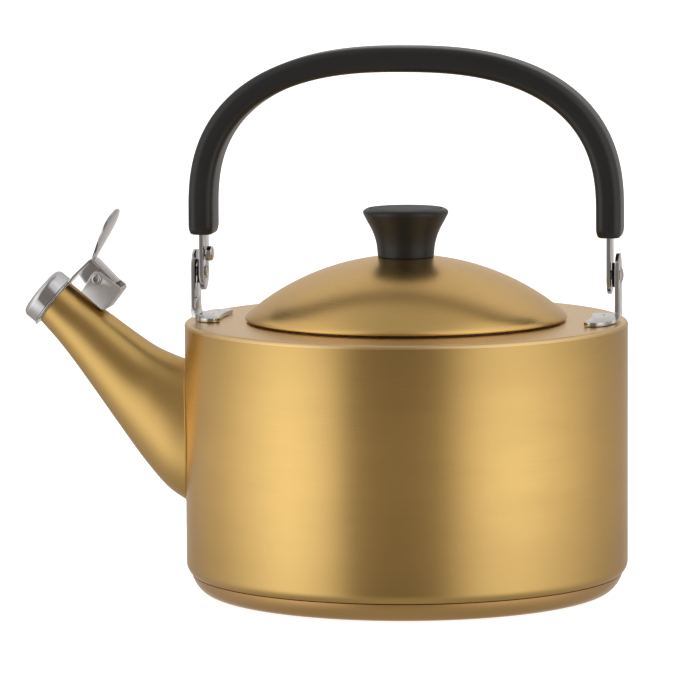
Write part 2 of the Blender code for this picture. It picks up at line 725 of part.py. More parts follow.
def build_pivot(label, side, chrome, black, kettle):
    """The rivet and the washer on one side. The right rivet has its head outside, the left one inside."""
    matrix = side_matrix(side)
    post_outer = POST_INNER + POST_THICKNESS
    strap_inner = BOW_HALF_SPAN - STRAP_THICKNESS / 2
    if side > 0:
        seat, end = post_outer + GAP, strap_inner - RIVET_TAIL
        profile = [*[(r, seat + height) for r, height in RIVET_DOME], (RIVET_RADIUS, seat),
                   (RIVET_RADIUS, end), (0.0, end)]
    else:
        seat, end = strap_inner - GAP, post_outer + RIVET_TAIL
        profile = [(0.0, end), (RIVET_RADIUS, end), (RIVET_RADIUS, seat),
                   *[(r, seat - height) for r, height in RIVET_FLAT]]
    turned(f"pivot_rivet_{label}", profile, chrome, kettle, STEPS_SMALL, matrix=matrix)
    low = BOW_HALF_SPAN + STRAP_THICKNESS / 2 + GAP
    turned(
        f"pivot_washer_{label}",
        [(PIVOT_HOLE_RADIUS, low + WASHER_THICKNESS), (WASHER_RADIUS, low + WASHER_THICKNESS),
         (WASHER_RADIUS, low), (PIVOT_HOLE_RADIUS, low)],
        black, kettle, STEPS_SMALL, closed=True, matrix=matrix,
    )


def stud_matrix():
    return shifted(side_matrix(-1), (0, 0, STUD_Z - PIVOT_Z))


def build_stud(chrome, kettle):
    """The stop stud through the left end of the strap, above the pivot."""
    seat = BOW_HALF_SPAN - STRAP_THICKNESS / 2 - GAP
    end = BOW_HALF_SPAN + STRAP_THICKNESS / 2 + 0.4
    shank = STUD_HOLE_RADIUS - GAP
    turned(
        "stop_stud",
        [(0.0, end), (shank, end), (shank, seat), *[(r, seat - height) for r, height in STUD_HEAD]],
        chrome, kettle, 16, matrix=stud_matrix(),
    )


def build_handle(chrome, black, kettle, cutters):
    half = STRAP_WIDTH / 2
    reach = BOW_HALF_SPAN + GRIP_THICKNESS
    over = BOW_CENTRE_Z + BOW_RISE + GRIP_THICKNESS
    strap = bow("handle_strap", STRAP_WIDTH, STRAP_THICKNESS, 0.0, PIVOT_Z - half - 1.0, chrome, kettle, cutters)
    end_shape = [*arc((0, PIVOT_Z), half, 180, 360, 8), (half + 1.0, PIVOT_Z + 3.0), (half + 1.0, over),
                 (-half - 1.0, over), (-half - 1.0, PIVOT_Z + 3.0)]
    rounding = plate("strap_end_shape", end_shape, reach, YZ_PLANE, None, cutters)
    boolean(strap, add_cutter(rounding), "INTERSECT")
    bore = cylinder("strap_pivot_bore", PIVOT_HOLE_RADIUS, -reach, reach, cutters, matrix=side_matrix(1), steps=16)
    boolean(strap, add_cutter(bore))
    bore = cylinder("strap_stud_bore", STUD_HOLE_RADIUS, BOW_HALF_SPAN - GRIP_THICKNESS, reach, cutters,
                    matrix=stud_matrix(), steps=16)
    boolean(strap, add_cutter(bore))

    grip = bow("handle_grip", GRIP_DEPTH, GRIP_THICKNESS, GRIP_CORNER, GRIP_END_Z, black, kettle, cutters,
               tip_scale=0.9)
    slot = bow("grip_slot", STRAP_WIDTH + 2 * GAP, STRAP_THICKNESS + 2 * GAP, 0.0, GRIP_END_Z - 5, None,
               cutters, cutters)
    boolean(grip, add_cutter(slot))


def parent_to_pivot(name, place, child_names, kettle):
    """An empty on the joint's axis carries the pieces that move with it."""
    pivot = bpy.data.objects.new(name, None)
    pivot.location = Vector(place) * MM
    pivot.empty_display_size = 0.02
    kettle.objects.link(pivot)
    bpy.context.view_layer.update()
    for child_name in child_names:
        child = bpy.data.objects[child_name]
        child.parent = pivot
        child.matrix_parent_inverse = pivot.matrix_world.inverted()


def main():
    clear_scene()
    kettle = new_collection("whistling_kettle")
    cutters = new_collection("cutters")
    gold = new_material("gold_steel", (0.68, 0.47, 0.19), 0.32, 1.0)
    steel = new_material("plain_steel", (0.62, 0.61, 0.60), 0.28, 1.0)
    chrome = new_material("polished_steel", (0.78, 0.77, 0.76), 0.12, 1.0)
    aluminium = new_material("base_aluminium", (0.55, 0.55, 0.56), 0.45, 1.0)
    black = new_material("black_grip", (0.035, 0.035, 0.037), 0.5, 0.0)

    build_body(gold, kettle, cutters)
    build_base(gold, aluminium, kettle)
    build_shoulder(gold, kettle)
    build_spout(gold, kettle, cutters)
    build_lid(gold, black, kettle)
    build_channel(chrome, kettle, cutters)
    build_whistle(chrome, steel, kettle, cutters)
    build_spring(steel, kettle)
    for label, side in (("left", -1), ("right", 1)):
        build_bracket(f"handle_bracket_{label}", side, chrome, kettle, cutters)
        build_pivot(label, side, chrome, black, kettle)
    build_stud(chrome, kettle)
    build_handle(chrome, black, kettle, cutters)

    parent_to_pivot("handle_pivot", (0, 0, PIVOT_Z),
                    ("handle_strap", "handle_grip", "stop_stud"), kettle)
    parent_to_pivot("cap_pivot", (LEVER_PIN[0], 0, LEVER_PIN[1]),
                    ("whistle_cap", "whistle_disc_inner", "whistle_disc_outer", "cap_lever", "cap_spring"),
                    kettle)
    parent_to_pivot("lid_seat", (0, 0, SHOULDER_Z),
                    ("lid_dome", "lid_skirt", "lid_knob", "knob_cap", "knob_washer", "knob_screw"), kettle)


main()
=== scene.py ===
"""The looks of a stovetop whistling kettle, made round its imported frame.

Every size is in millimetres and every angle in degrees unless a name says otherwise. Meshes are made in metres,
in the frame's own axes: +Z up, the spout towards -X, and the origin under the middle of the base.
"""

import contextlib
import enum
import logging
import math
from collections.abc import Callable, Iterator, Sequence
from dataclasses import dataclass

import bpy
from mathutils import Matrix, Vector


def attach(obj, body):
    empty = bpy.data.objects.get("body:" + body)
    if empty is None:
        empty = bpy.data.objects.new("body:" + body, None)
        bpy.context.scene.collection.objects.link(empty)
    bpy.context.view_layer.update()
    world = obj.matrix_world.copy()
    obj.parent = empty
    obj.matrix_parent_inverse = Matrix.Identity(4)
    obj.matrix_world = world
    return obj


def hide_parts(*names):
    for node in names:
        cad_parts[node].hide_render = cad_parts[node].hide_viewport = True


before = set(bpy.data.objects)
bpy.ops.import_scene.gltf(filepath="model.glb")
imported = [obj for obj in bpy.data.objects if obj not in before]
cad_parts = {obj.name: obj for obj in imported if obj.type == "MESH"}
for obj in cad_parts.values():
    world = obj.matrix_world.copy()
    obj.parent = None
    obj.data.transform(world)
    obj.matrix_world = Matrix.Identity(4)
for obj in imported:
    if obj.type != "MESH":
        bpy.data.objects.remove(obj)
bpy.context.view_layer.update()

log = logging.getLogger("kettle")

Point = tuple[float, float]
Colour = tuple[float, float, float]

MM = 0.001
WELD = 1e-6  # metres: vertices this close are one
FINE = 128  # facets round a large turned piece
MEDIUM = 64
SMALL = 40


class Body(enum.Enum):
    """The moving bodies of the kettle."""

    KETTLE = "kettle"
    LID = "lid"
    WHISTLE = "whistle"
    HANDLE = "handle"


class Slot(enum.Enum):
    """The record's material slots."""

    GOLD = "gold_steel"
    POLISHED = "polished_steel"
    PLAIN = "plain_steel"
    CORE = "core_aluminium"
    GRIP = "black_grip"
    WASHER = "black_washer"


class Axis(enum.Enum):
    """Which way a hole is drilled: the turn that brings an upright drill there, in radians."""

    X = (0.0, math.pi / 2, 0.0)
    Y = (math.pi / 2, 0.0, 0.0)
    Z = (0.0, 0.0, 0.0)


class Grain(enum.Enum):
    """Which way a metal's brushing runs."""

    AROUND = "around the kettle's upright axis"
    ALONG_SPOUT = "along the spout"
    NONE = "no direction"


# ---------------------------------------------------------------------------------------------------- shader maths


class Wire:
    """A socket that gives a value, colour or vector, with Python's arithmetic for values."""

    def __init__(self, graph: "Graph", socket: bpy.types.NodeSocket) -> None:
        """Holds the socket and the graph it is in."""
        self.graph = graph
        self.socket = socket

    def _math(self, operation: str, *operands: "Wire | float") -> "Wire":
        """Adds a Math node with these operands."""
        return self.graph.make("ShaderNodeMath", {"operation": operation}, dict(enumerate(operands)))

    def __add__(self, other: "Wire | float") -> "Wire":
        """Adds."""
        return self._math("ADD", self, other)

    __radd__ = __add__

    def __sub__(self, other: "Wire | float") -> "Wire":
        """Subtracts."""
        return self._math("SUBTRACT", self, other)

    def __rsub__(self, other: float) -> "Wire":
        """Subtracts from a number."""
        return self._math("SUBTRACT", other, self)

    def __mul__(self, other: "Wire | float") -> "Wire":
        """Multiplies."""
        return self._math("MULTIPLY", self, other)

    __rmul__ = __mul__

    def __truediv__(self, other: "Wire | float") -> "Wire":
        """Divides."""
        return self._math("DIVIDE", self, other)

    def root(self) -> "Wire":
        """The square root."""
        return self._math("SQRT", self)

    def exp(self) -> "Wire":
        """e to this power."""
        return self._math("EXPONENT", self)

    def angle_from(self, along: "Wire") -> "Wire":
        """The angle whose tangent is this value over the other, in radians."""
        return self._math("ARCTAN2", self, along)

    def bell(self, centre: float, width: float) -> "Wire":
        """A bell curve of height 1 over this value."""
        share = (self - centre) / width
        return (share * share * -1.0).exp()


class Graph:
    """A material's or a world's node tree while it is built."""

    def __init__(self, tree: bpy.types.NodeTree) -> None:
        """Starts from an empty tree."""
        self.tree = tree
        tree.nodes.clear()

    def make(self, kind: str, settings: dict | None = None, sockets: dict | None = None, output: int = 0) -> Wire:
        """Adds any node.

        Args:
            kind: the node's type.
            settings: its properties, set first; "stops" gives a ramp's (position, colour) pairs.
            sockets: for each input, by name or number, a Wire to link or a value to set.
            output: the number of the output to return.

        Returns:
            The chosen output.
        """
        node = self.tree.nodes.new(kind)
        for name, value in (settings or {}).items():
            if name == "stops":
                ramp = node.color_ramp
                while len(ramp.elements) < len(value):
                    ramp.elements.new(1.0)
                for element, (position, colour) in zip(ramp.elements, value):
                    element.position = position
                    element.color = (*colour, 1.0)
            else:
                setattr(node, name, value)
        for name, value in (sockets or {}).items():
            if isinstance(value, Wire):
                self.tree.links.new(value.socket, node.inputs[name])
            else:
                node.inputs[name].default_value = value
        return Wire(self, node.outputs[output]) if len(node.outputs) > output else Wire(self, None)

    def place(self, turn: Sequence[float] = (0.0, 0.0, 0.0)) -> Wire:
        """Reads the object's own coordinates.

        Args:
            turn: angles in degrees that the pattern is turned by.

        Returns:
            The place in metres.
        """
        coordinates = self.make("ShaderNodeTexCoord", output=3)
        turned = tuple(math.radians(angle) for angle in turn)
        return self.make("ShaderNodeMapping", {"vector_type": "POINT"}, {"Vector": coordinates, "Rotation": turned})

    def split(self, vector: Wire) -> tuple[Wire, Wire, Wire]:
        """A vector's three parts."""
        first = self.make("ShaderNodeSeparateXYZ", sockets={0: vector})
        return tuple(Wire(self, first.socket.node.outputs[index]) for index in range(3))

    def join(self, x: "Wire | float", y: "Wire | float", z: "Wire | float") -> Wire:
        """A vector from its three parts."""
        return self.make("ShaderNodeCombineXYZ", sockets={0: x, 1: y, 2: z})

    def noise(self, vector: Wire, scale: float, detail: float = 2.0) -> Wire:
        """Fractal noise from 0 to 1."""
        return self.make("ShaderNodeTexNoise", sockets={"Vector": vector, "Scale": scale, "Detail": detail})

    def blend(self, share: Wire, low: "Wire | Colour", high: "Wire | Colour") -> Wire:
        """Mixes two colours.

        Args:
            share: 0 for the first colour, 1 for the second.
            low: the first colour.
            high: the second colour.

        Returns:
            The colour between them.
        """
        ends = {6: low, 7: high}
        ends = {name: value if isinstance(value, Wire) else (*value, 1.0) for name, value in ends.items()}
        return self.make("ShaderNodeMix", {"data_type": "RGBA", "clamp_factor": True}, {0: share, **ends}, 2)

    def climb(self, height: Wire, limits: Point) -> Wire:
        """Goes smoothly from 0 to 1 as a direction passes from one elevation to another.

        Args:
            height: the direction's upward part.
            limits: the two elevations, in degrees.

        Returns:
            The value from 0 to 1.
        """
        first, last = (math.sin(math.radians(limit)) for limit in limits)
        return self.make("ShaderNodeMapRange", {"interpolation_type": "SMOOTHSTEP"}, {
            "Value": height, "From Min": first, "From Max": last,
        })

    def bump(self, height: Wire, depth: float, strength: float = 1.0) -> Wire:
        """A normal for this height, which is worth the depth in metres."""
        return self.make("ShaderNodeBump", sockets={"Height": height, "Distance": depth, "Strength": strength})


# -------------------------------------------------------------------------------------------------------- finishes


SPOUT_SLOPE = -44.0  # turns the spout's direction along X
SPOUT_STREAKS = 30.0  # streaks per metre along the spout's brushing
STREAKS = 5.0  # streaks per radius round the brushing
BLASTED = 900.0  # specks per metre on metal without a grain


@dataclass(frozen=True)
class Finish:
    """What every finish has: a name, a colour and how rough and metallic it is."""

    name: str
    colour: Colour
    roughness: float
    metallic: float = 1.0

    def material(self) -> bpy.types.Material:
        """Makes the Blender material the first time that it is asked for.

        Returns:
            The material.
        """
        known = bpy.data.materials.get(self.name)
        if known:
            return known
        material = bpy.data.materials.new(self.name)
        material.use_nodes = True
        graph = Graph(material.node_tree)
        shader = graph.make("ShaderNodeBsdfPrincipled", sockets={
            "Base Color": (*self.colour, 1.0), "Roughness": self.roughness, "Metallic": self.metallic,
            **self.fixed(),
        })
        graph.make("ShaderNodeOutputMaterial", sockets={"Surface": shader})
        for name, value in self.varying(graph).items():
            graph.tree.links.new(value.socket, shader.socket.node.inputs[name])
        material.diffuse_color = (*self.colour, 1.0)
        return material

    def fixed(self) -> dict[str, float]:
        """The shader inputs that only this kind of finish sets, the same all over."""
        return {}

    def varying(self, graph: Graph) -> dict[str, Wire]:
        """The shader inputs that change over the surface."""
        raise NotImplementedError

    def shade(self, factor: float) -> Colour:
        """This finish's colour made lighter or darker."""
        return tuple(min(part * factor, 1.0) for part in self.colour)


@dataclass(frozen=True)
class BrushedMetal(Finish):
    """Metal with fine brushing lines and broad, faint changes of tone; a wall can also be given a painted highlight
    band, with painted shade above and below it.
    """

    grain: Grain = Grain.AROUND
    lines: float = 6400.0  # per metre across the grain
    contrast: float = 0.05
    depth: float = 1.8e-7
    line_share: float = 0.6  # how much of the tone the fine lines make; clouds make the rest
    line_gloss: float = 0.07  # how much the lines change the roughness
    cloud_scale: float = 26.0
    cloud_gloss: float = 0.06
    bands: float = 0.0  # how strongly broad bands of tone run round the wall
    band_scale: tuple[float, float] = (1.6, 62.0)  # round the wall and up it
    # painted light: the next three settings paint a wall brightest at one height and darker above and below it, where
    # the tent's reflection fades
    painted_sheen_height: float = 0.0  # metres, where a wall is brightest
    painted_sheen_reach: float = 1.0
    painted_shade_share: float = 0.0  # how much darker the wall is far from there

    def across(self, graph: Graph) -> Wire:
        """Stretches space along the brushing.

        Args:
            graph: the material's node tree.

        Returns:
            A vector that changes fast across the brushing and slowly along it.
        """
        if self.grain is Grain.ALONG_SPOUT:
            x, y, z = graph.split(graph.place((0.0, SPOUT_SLOPE, 0.0)))
            return graph.join(x * SPOUT_STREAKS, y * self.lines / 4, z * self.lines / 4)
        x, y, z = graph.split(graph.place())
        if self.grain is Grain.NONE:
            return graph.join(x * BLASTED, y * BLASTED, z * BLASTED)
        radius = (x * x + y * y).root() + WELD
        return graph.join(x / radius * STREAKS, y / radius * STREAKS, (z - radius) * self.lines / 2)

    def varying(self, graph: Graph) -> dict[str, Wire]:
        """Draws fine lines in colour, roughness and height.

        Args:
            graph: the material's node tree.

        Returns:
            The varying inputs.
        """
        lines = graph.noise(self.across(graph), 1.0, 3.0)
        clouds = graph.noise(graph.place(), self.cloud_scale, 3.0)
        tone = lines * self.line_share + clouds * (1.0 - self.line_share)
        if self.bands:
            x, y, z = graph.split(graph.place())
            radius = (x * x + y * y).root() + WELD
            round_wall, up_wall = self.band_scale
            bands = graph.noise(graph.join(x / radius * round_wall, y / radius * round_wall, z * up_wall), 1.0, 2.0)
            tone = tone + (bands - 0.5) * self.bands
        colour = graph.blend(tone, self.shade(1.0 - self.contrast), self.shade(1.0 + self.contrast))
        # painted shade: the colour is darkened away from the bright height, standing in for the highlight fading at
        # the wall's top and bottom
        if self.painted_shade_share:
            colour = graph.blend(z.bell(self.painted_sheen_height, self.painted_sheen_reach), self.shade(1.0 - self.painted_shade_share), colour)
        return {
            "Base Color": colour,
            "Roughness": (lines - 0.5) * self.line_gloss + (clouds - 0.5) * self.cloud_gloss + self.roughness,
            "Normal": graph.bump(lines, self.depth),
        }


@dataclass(frozen=True)
class PolishedMetal(Finish):
    """Polished sheet metal, with faint smears and the shallow waves that pressing leaves."""

    waves: float = 5e-6
    wave_scale: float = 90.0
    smear_scale: float = 420.0
    smear_gloss: float = 0.08  # how much the smears change the roughness
    smear_tone: tuple[float, float] = (0.93, 1.05)

    def varying(self, graph: Graph) -> dict[str, Wire]:
        """Draws smears in roughness and waves in height.

        Args:
            graph: the material's node tree.

        Returns:
            The varying inputs.
        """
        place = graph.place()
        smears = graph.noise(place, self.smear_scale, 4.0)
        waves = graph.noise(place, self.wave_scale, 1.0)
        return {
            "Base Color": graph.blend(smears, *(self.shade(tone) for tone in self.smear_tone)),
            "Roughness": (smears - 0.5) * self.smear_gloss + self.roughness,
            "Normal": graph.bump(waves, self.waves),
        }


@dataclass(frozen=True)
class SoftPlastic(Finish):
    """Matte moulded plastic with the fine texture of its mould."""

    grit: float = 3200.0  # texture points per metre
    depth: float = 6e-6
    shine: float = 0.30  # how strongly it mirrors, where 0.5 is usual
    handled_scale: float = 38.0
    handled_gloss: float = 0.12  # how much handling changes the roughness
    handled_tone: tuple[float, float] = (0.8, 1.2)

    def fixed(self) -> dict[str, float]:
        """The mirror strength."""
        return {"Specular IOR Level": self.shine}

    def varying(self, graph: Graph) -> dict[str, Wire]:
        """Draws fine grit in height, and slow changes in tone where hands have polished it.

        Args:
            graph: the material's node tree.

        Returns:
            The varying inputs.
        """
        place = graph.place()
        grit = graph.noise(place, self.grit, 2.0)
        handling = graph.noise(place, self.handled_scale, 3.0)
        return {
            "Base Color": graph.blend(handling, *(self.shade(tone) for tone in self.handled_tone)),
            "Roughness": (handling - 0.5) * self.handled_gloss + self.roughness,
            "Normal": graph.bump(grit, self.depth, 0.5),
        }


# the body's gold carries a painted highlight band round its middle, with painted shade towards its top and bottom
GOLD = BrushedMetal(
    "brushed_gold", (0.76, 0.50, 0.175), 0.29, contrast=0.07, bands=1.6, painted_sheen_height=0.060, painted_sheen_reach=0.050,
    painted_shade_share=0.28,
)
GOLD_SPOUT = BrushedMetal("brushed_gold_spout", (0.63, 0.41, 0.14), 0.33, grain=Grain.ALONG_SPOUT)
GOLD_LID = BrushedMetal("brushed_gold_lid", (0.78, 0.51, 0.18), 0.29, lines=4200.0, contrast=0.07, bands=1.2)
GOLD_PLATE = BrushedMetal("brushed_gold_plate", (0.80, 0.56, 0.26), 0.30, lines=4200.0)
# painted shade: the base cap's gold is darker than the body's to stand in for the shade close to the floor
GOLD_BASE_PAINTED_SHADE = BrushedMetal("brushed_gold_base_painted_shade", (0.62, 0.38, 0.15), 0.26)
INSIDE = BrushedMetal("inside_steel", (0.60, 0.58, 0.55), 0.34)
POLISHED = PolishedMetal("mirror_steel", (0.60, 0.602, 0.615), 0.05)
SATIN = PolishedMetal("satin_steel", (0.76, 0.755, 0.745), 0.40, waves=4e-6)
CORE = BrushedMetal("pressed_aluminium", (0.62, 0.62, 0.63), 0.42, grain=Grain.NONE)
GRIP = SoftPlastic("moulded_grip", (0.0110, 0.0110, 0.0114), 0.34, metallic=0.0, depth=4e-6, shine=0.42)
DISC = SoftPlastic("inlaid_disc", (0.012, 0.012, 0.013), 0.44, metallic=0.0, grit=5200.0, depth=3e-6, shine=0.2)
WASHER = SoftPlastic("moulded_washer", (0.014, 0.014, 0.014), 0.5, metallic=0.0)


# -------------------------------------------------------------------------------------------------------- outlines


def arc(centre: Point, radius: float, start: float, end: float, steps: int = 8) -> list[Point]:
    """Points on an arc, its angles in degrees."""
    turns = [math.radians(start + (end - start) * index / steps) for index in range(steps + 1)]
    return [(centre[0] + radius * math.cos(turn), centre[1] + radius * math.sin(turn)) for turn in turns]


def rounded(points: Sequence[Point], radii: Sequence[float], steps: int = 6, closed: bool = False) -> list[Point]:
    """Rounds the corners of a line.

    Args:
        points: the corners.
        radii: a radius for each; 0 leaves it sharp, and an open line's ends are always left.
        steps: facets on each arc.
        closed: whether the last corner joins the first.

    Returns:
        The line with arcs in place of its corners.
    """
    line: list[Point] = []
    count = len(points)
    for index, ((x, y), radius) in enumerate(zip(points, radii)):
        inner = closed or 0 < index < count - 1
        if not radius or not inner:
            line.append((x, y))
            continue
        here = Vector((x, y))
        back = Vector(points[index - 1]) - here
        ahead = Vector(points[(index + 1) % count]) - here
        half = back.angle(ahead) / 2
        reach = min(radius / math.tan(half), 0.49 * back.length, 0.49 * ahead.length)
        size = reach * math.tan(half)
        middle = here + (back.normalized() + ahead.normalized()).normalized() * size / math.sin(half)
        first = here + back.normalized() * reach - middle
        last = here + ahead.normalized() * reach - middle
        sweep = first.angle_signed(last)
        for step in range(steps + 1):
            spoke = first.copy()
            spoke.rotate(Matrix.Rotation(-sweep * step / steps, 2))
            line.append(tuple(middle + spoke))
    return line


def offset(points: Sequence[Point], distance: float) -> list[Point]:
    """Moves an open line sideways.

    Args:
        points: the line.
        distance: how far, to the left of the line's direction if positive.

    Returns:
        As many points.
    """
    normals = []
    for (ax, ay), (bx, by) in zip(points, points[1:]):
        length = math.hypot(bx - ax, by - ay)
        normals.append((-(by - ay) / length, (bx - ax) / length))
    moved = []
    for index, (x, y) in enumerate(points):
        before, after = normals[max(index - 1, 0)], normals[min(index, len(normals) - 1)]
        nx, ny = before[0] + after[0], before[1] + after[1]
        scale = 2 * distance / (nx * nx + ny * ny)
        moved.append((x + nx * scale, y + ny * scale))
    return moved


def sheet(points: Sequence[Point], thickness: float) -> list[Point]:
    """The closed outline of a bent sheet, with the line of points down its middle."""
    return offset(points, thickness / 2) + offset(points, -thickness / 2)[::-1]


def band(inner: float, outer: float, low: float, high: float, edge: float) -> list[Point]:
    """The profile of a flat ring with rounded edges."""
    return rounded([(inner, high), (outer, high), (outer, low), (inner, low)], [edge] * 4, 3, closed=True)


def smoothed(stations: Sequence[tuple[float, ...]], substeps: int) -> list[tuple[float, ...]]:
    """Draws a smooth curve through stations, each of any count of numbers.

    Args:
        stations: what the curve passes through.
        substeps: points from each station to the next.

    Returns:
        The points on the curve, with the stations among them.
    """
    result = []
    last = len(stations) - 1
    for index in range(last):
        rows = [stations[min(max(index + shift, 0), last)] for shift in (-1, 0, 1, 2)]
        for step in range(substeps):
            t = step / substeps
            result.append(tuple(
                0.5 * (2 * b + (c - a) * t + (2 * a - 5 * b + 4 * c - d) * t ** 2 + (3 * b - a - 3 * c + d) * t ** 3)
                for a, b, c, d in zip(*rows)
            ))
    result.append(tuple(stations[last]))
    return result


# ----------------------------------------------------------------------------------------------------------- bench

FLAT = Matrix.Identity(4)
FRONT = Matrix(((1, 0, 0, 0), (0, 0, -1, 0), (0, 1, 0, 0), (0, 0, 0, 1)))  # drawn in XZ, its depth along -Y
SIDE = Matrix(((0, 0, 1, 0), (1, 0, 0, 0), (0, 1, 0, 0), (0, 0, 0, 1)))  # drawn in YZ, its depth along +X


def moved(matrix: Matrix, x: float, y: float, z: float) -> Matrix:
    """The matrix with its place moved by these distances."""
    return Matrix.Translation(Vector((x, y, z)) * MM) @ matrix


class Bench:
    """Adds, shapes and finishes pieces with Blender's modelling operators."""

    def pick(self, *objects: bpy.types.Object) -> None:
        """Selects some objects only.

        Args:
            objects: what to select; the first one becomes active.
        """
        if bpy.context.mode != "OBJECT":
            bpy.ops.object.mode_set(mode="OBJECT")
        bpy.ops.object.select_all(action="DESELECT")
        for obj in objects:
            obj.select_set(True)
        if objects:
            bpy.context.view_layer.objects.active = objects[0]

    @contextlib.contextmanager
    def editing(self, obj: bpy.types.Object, select: str = "VERT") -> Iterator[None]:
        """Keeps edit mode on for a with block.

        Args:
            obj: what is edited.
            select: which elements are selected, such as VERT or EDGE.

        Returns:
            Nothing, while it is on.
        """
        self.pick(obj)
        bpy.ops.object.mode_set(mode="EDIT")
        bpy.ops.mesh.select_mode(type=select)
        yield
        bpy.ops.object.mode_set(mode="OBJECT")

    def close_up(self) -> None:
        """Merges doubles and turns every face outwards, in edit mode."""
        bpy.ops.mesh.select_all(action="SELECT")
        bpy.ops.mesh.remove_doubles(threshold=WELD)
        bpy.ops.mesh.normals_make_consistent(inside=False)

    def chain(self, name: str, points: Sequence[Sequence[float]], closed: bool = False) -> bpy.types.Object:
        """Draws a line by extruding a single vertex from point to point.

        Args:
            name: the object's name.
            points: two or three numbers each.
            closed: whether the line returns to its first point.

        Returns:
            The object, which holds edges only.
        """
        places = [Vector((*point, 0.0)[:3]) * MM for point in points]
        self.pick()
        bpy.ops.mesh.primitive_plane_add(size=MM, location=(0.0, 0.0, 0.0))
        obj = bpy.context.object
        obj.name = obj.data.name = name
        with self.editing(obj):
            bpy.ops.mesh.select_all(action="SELECT")
            bpy.ops.mesh.merge(type="CENTER")
            bpy.ops.transform.translate(value=places[0])
            for here, there in zip(places, places[1:] + places[:1] * closed):
                bpy.ops.mesh.extrude_region_move(TRANSFORM_OT_translate={"value": there - here})
            if closed:
                bpy.ops.mesh.select_all(action="SELECT")
                bpy.ops.mesh.remove_doubles(threshold=WELD)
        return obj

    def settle(self, obj: bpy.types.Object, place: Matrix | None = None) -> bpy.types.Object:
        """Puts an object in its place and moves that place into its mesh.

        Args:
            obj: the object.
            place: where it goes; left out, it stays.

        Returns:
            The object, now at the origin.
        """
        if place is not None:
            obj.matrix_world = place
        self.pick(obj)
        bpy.ops.object.transform_apply(location=True, rotation=True, scale=True)
        return obj

    def turned(
        self, name: str, profile: Sequence[Point], segments: int = MEDIUM, place: Matrix | None = None,
        closed: bool = False,
    ) -> bpy.types.Object:
        """Spins a profile round the upright axis.

        Args:
            name: the object's name.
            profile: (radius, height) points; it starts and ends on the axis, or is closed.
            segments: facets round the turn.
            place: where the finished piece goes.
            closed: whether the profile returns to its first point.

        Returns:
            The closed piece.
        """
        obj = self.chain(name, [(radius, 0.0, height) for radius, height in profile], closed)
        with self.editing(obj):
            bpy.ops.mesh.select_all(action="SELECT")
            bpy.ops.mesh.spin(steps=segments, angle=math.tau, center=(0.0, 0.0, 0.0), axis=(0.0, 0.0, 1.0))
            self.close_up()
        return self.settle(obj, place)

    def spun_sheet(
        self, name: str, line: Sequence[Point], wall: float, segments: int, place: Matrix | None = None,
    ) -> bpy.types.Object:
        """Spins a sheet whose visible side is the line, with its wall to the right of the line's direction."""
        return self.turned(name, [*line, *offset(line, -wall)[::-1]], segments, place, closed=True)

    def plate(
        self, name: str, outline: Sequence[Point], depth: float, plane: Matrix, middle: float = 0.0,
    ) -> bpy.types.Object:
        """Fills a flat outline and extrudes it.

        Args:
            name: the object's name.
            outline: the closed outline in the plane.
            depth: the whole thickness.
            plane: the plane's matrix, whose Z is the direction of the thickness.
            middle: how far along that direction the middle of the thickness lies.

        Returns:
            The closed piece.
        """
        obj = self.chain(name, [(x, y, middle - depth / 2) for x, y in outline], closed=True)
        with self.editing(obj):
            bpy.ops.mesh.select_all(action="SELECT")
            bpy.ops.mesh.edge_face_add()
            bpy.ops.mesh.extrude_region_move(TRANSFORM_OT_translate={"value": (0.0, 0.0, depth * MM)})
            self.close_up()
        return self.settle(obj, plane)

    def swept(
        self, name: str, path: Sequence[Point], section: Sequence[Point], plane: Matrix,
        swell: Callable[[Point], float] = lambda point: 1.0,
    ) -> bpy.types.Object:
        """Sweeps a closed section along a flat path.

        Args:
            name: the object's name.
            path: the middle line, in the plane.
            section: (in the plane and across the path, out of the plane) points.
            plane: the plane's matrix.
            swell: gives the section's size at each of the path's points.

        Returns:
            The closed piece.
        """
        guide = self.chain(name + "_section", section, closed=True)
        self.pick(guide)
        bpy.ops.object.convert(target="CURVE")
        guide.data.dimensions = "2D"
        obj = self.chain(name, path)
        self.pick(obj)
        bpy.ops.object.convert(target="CURVE")
        curve = obj.data
        curve.dimensions = "2D"
        curve.bevel_mode = "OBJECT"
        curve.bevel_object = guide
        curve.use_fill_caps = True
        for point in curve.splines[0].points:
            point.radius = swell((point.co.x / MM, point.co.y / MM))
        self.pick(obj)
        bpy.ops.object.convert(target="MESH")
        bpy.data.objects.remove(guide, do_unlink=True)
        with self.editing(obj):
            self.close_up()
        return self.settle(obj, plane)

    def wire(self, name: str, path: Sequence[Vector], radius: float, closed: bool = False) -> bpy.types.Object:
        """Draws a round wire.

        Args:
            name: the object's name.
            path: the middle line.
            radius: of the wire.
            closed: whether the wire is a ring.

        Returns:
            The closed piece.
        """
        obj = self.chain(name, path, closed)
        self.pick(obj)
        bpy.ops.object.convert(target="CURVE")
        obj.data.dimensions = "3D"
        obj.data.bevel_depth = radius * MM
        obj.data.bevel_resolution = 3
        obj.data.use_fill_caps = True
        self.pick(obj)
        bpy.ops.object.convert(target="MESH")
        with self.editing(obj):
            self.close_up()
        return obj

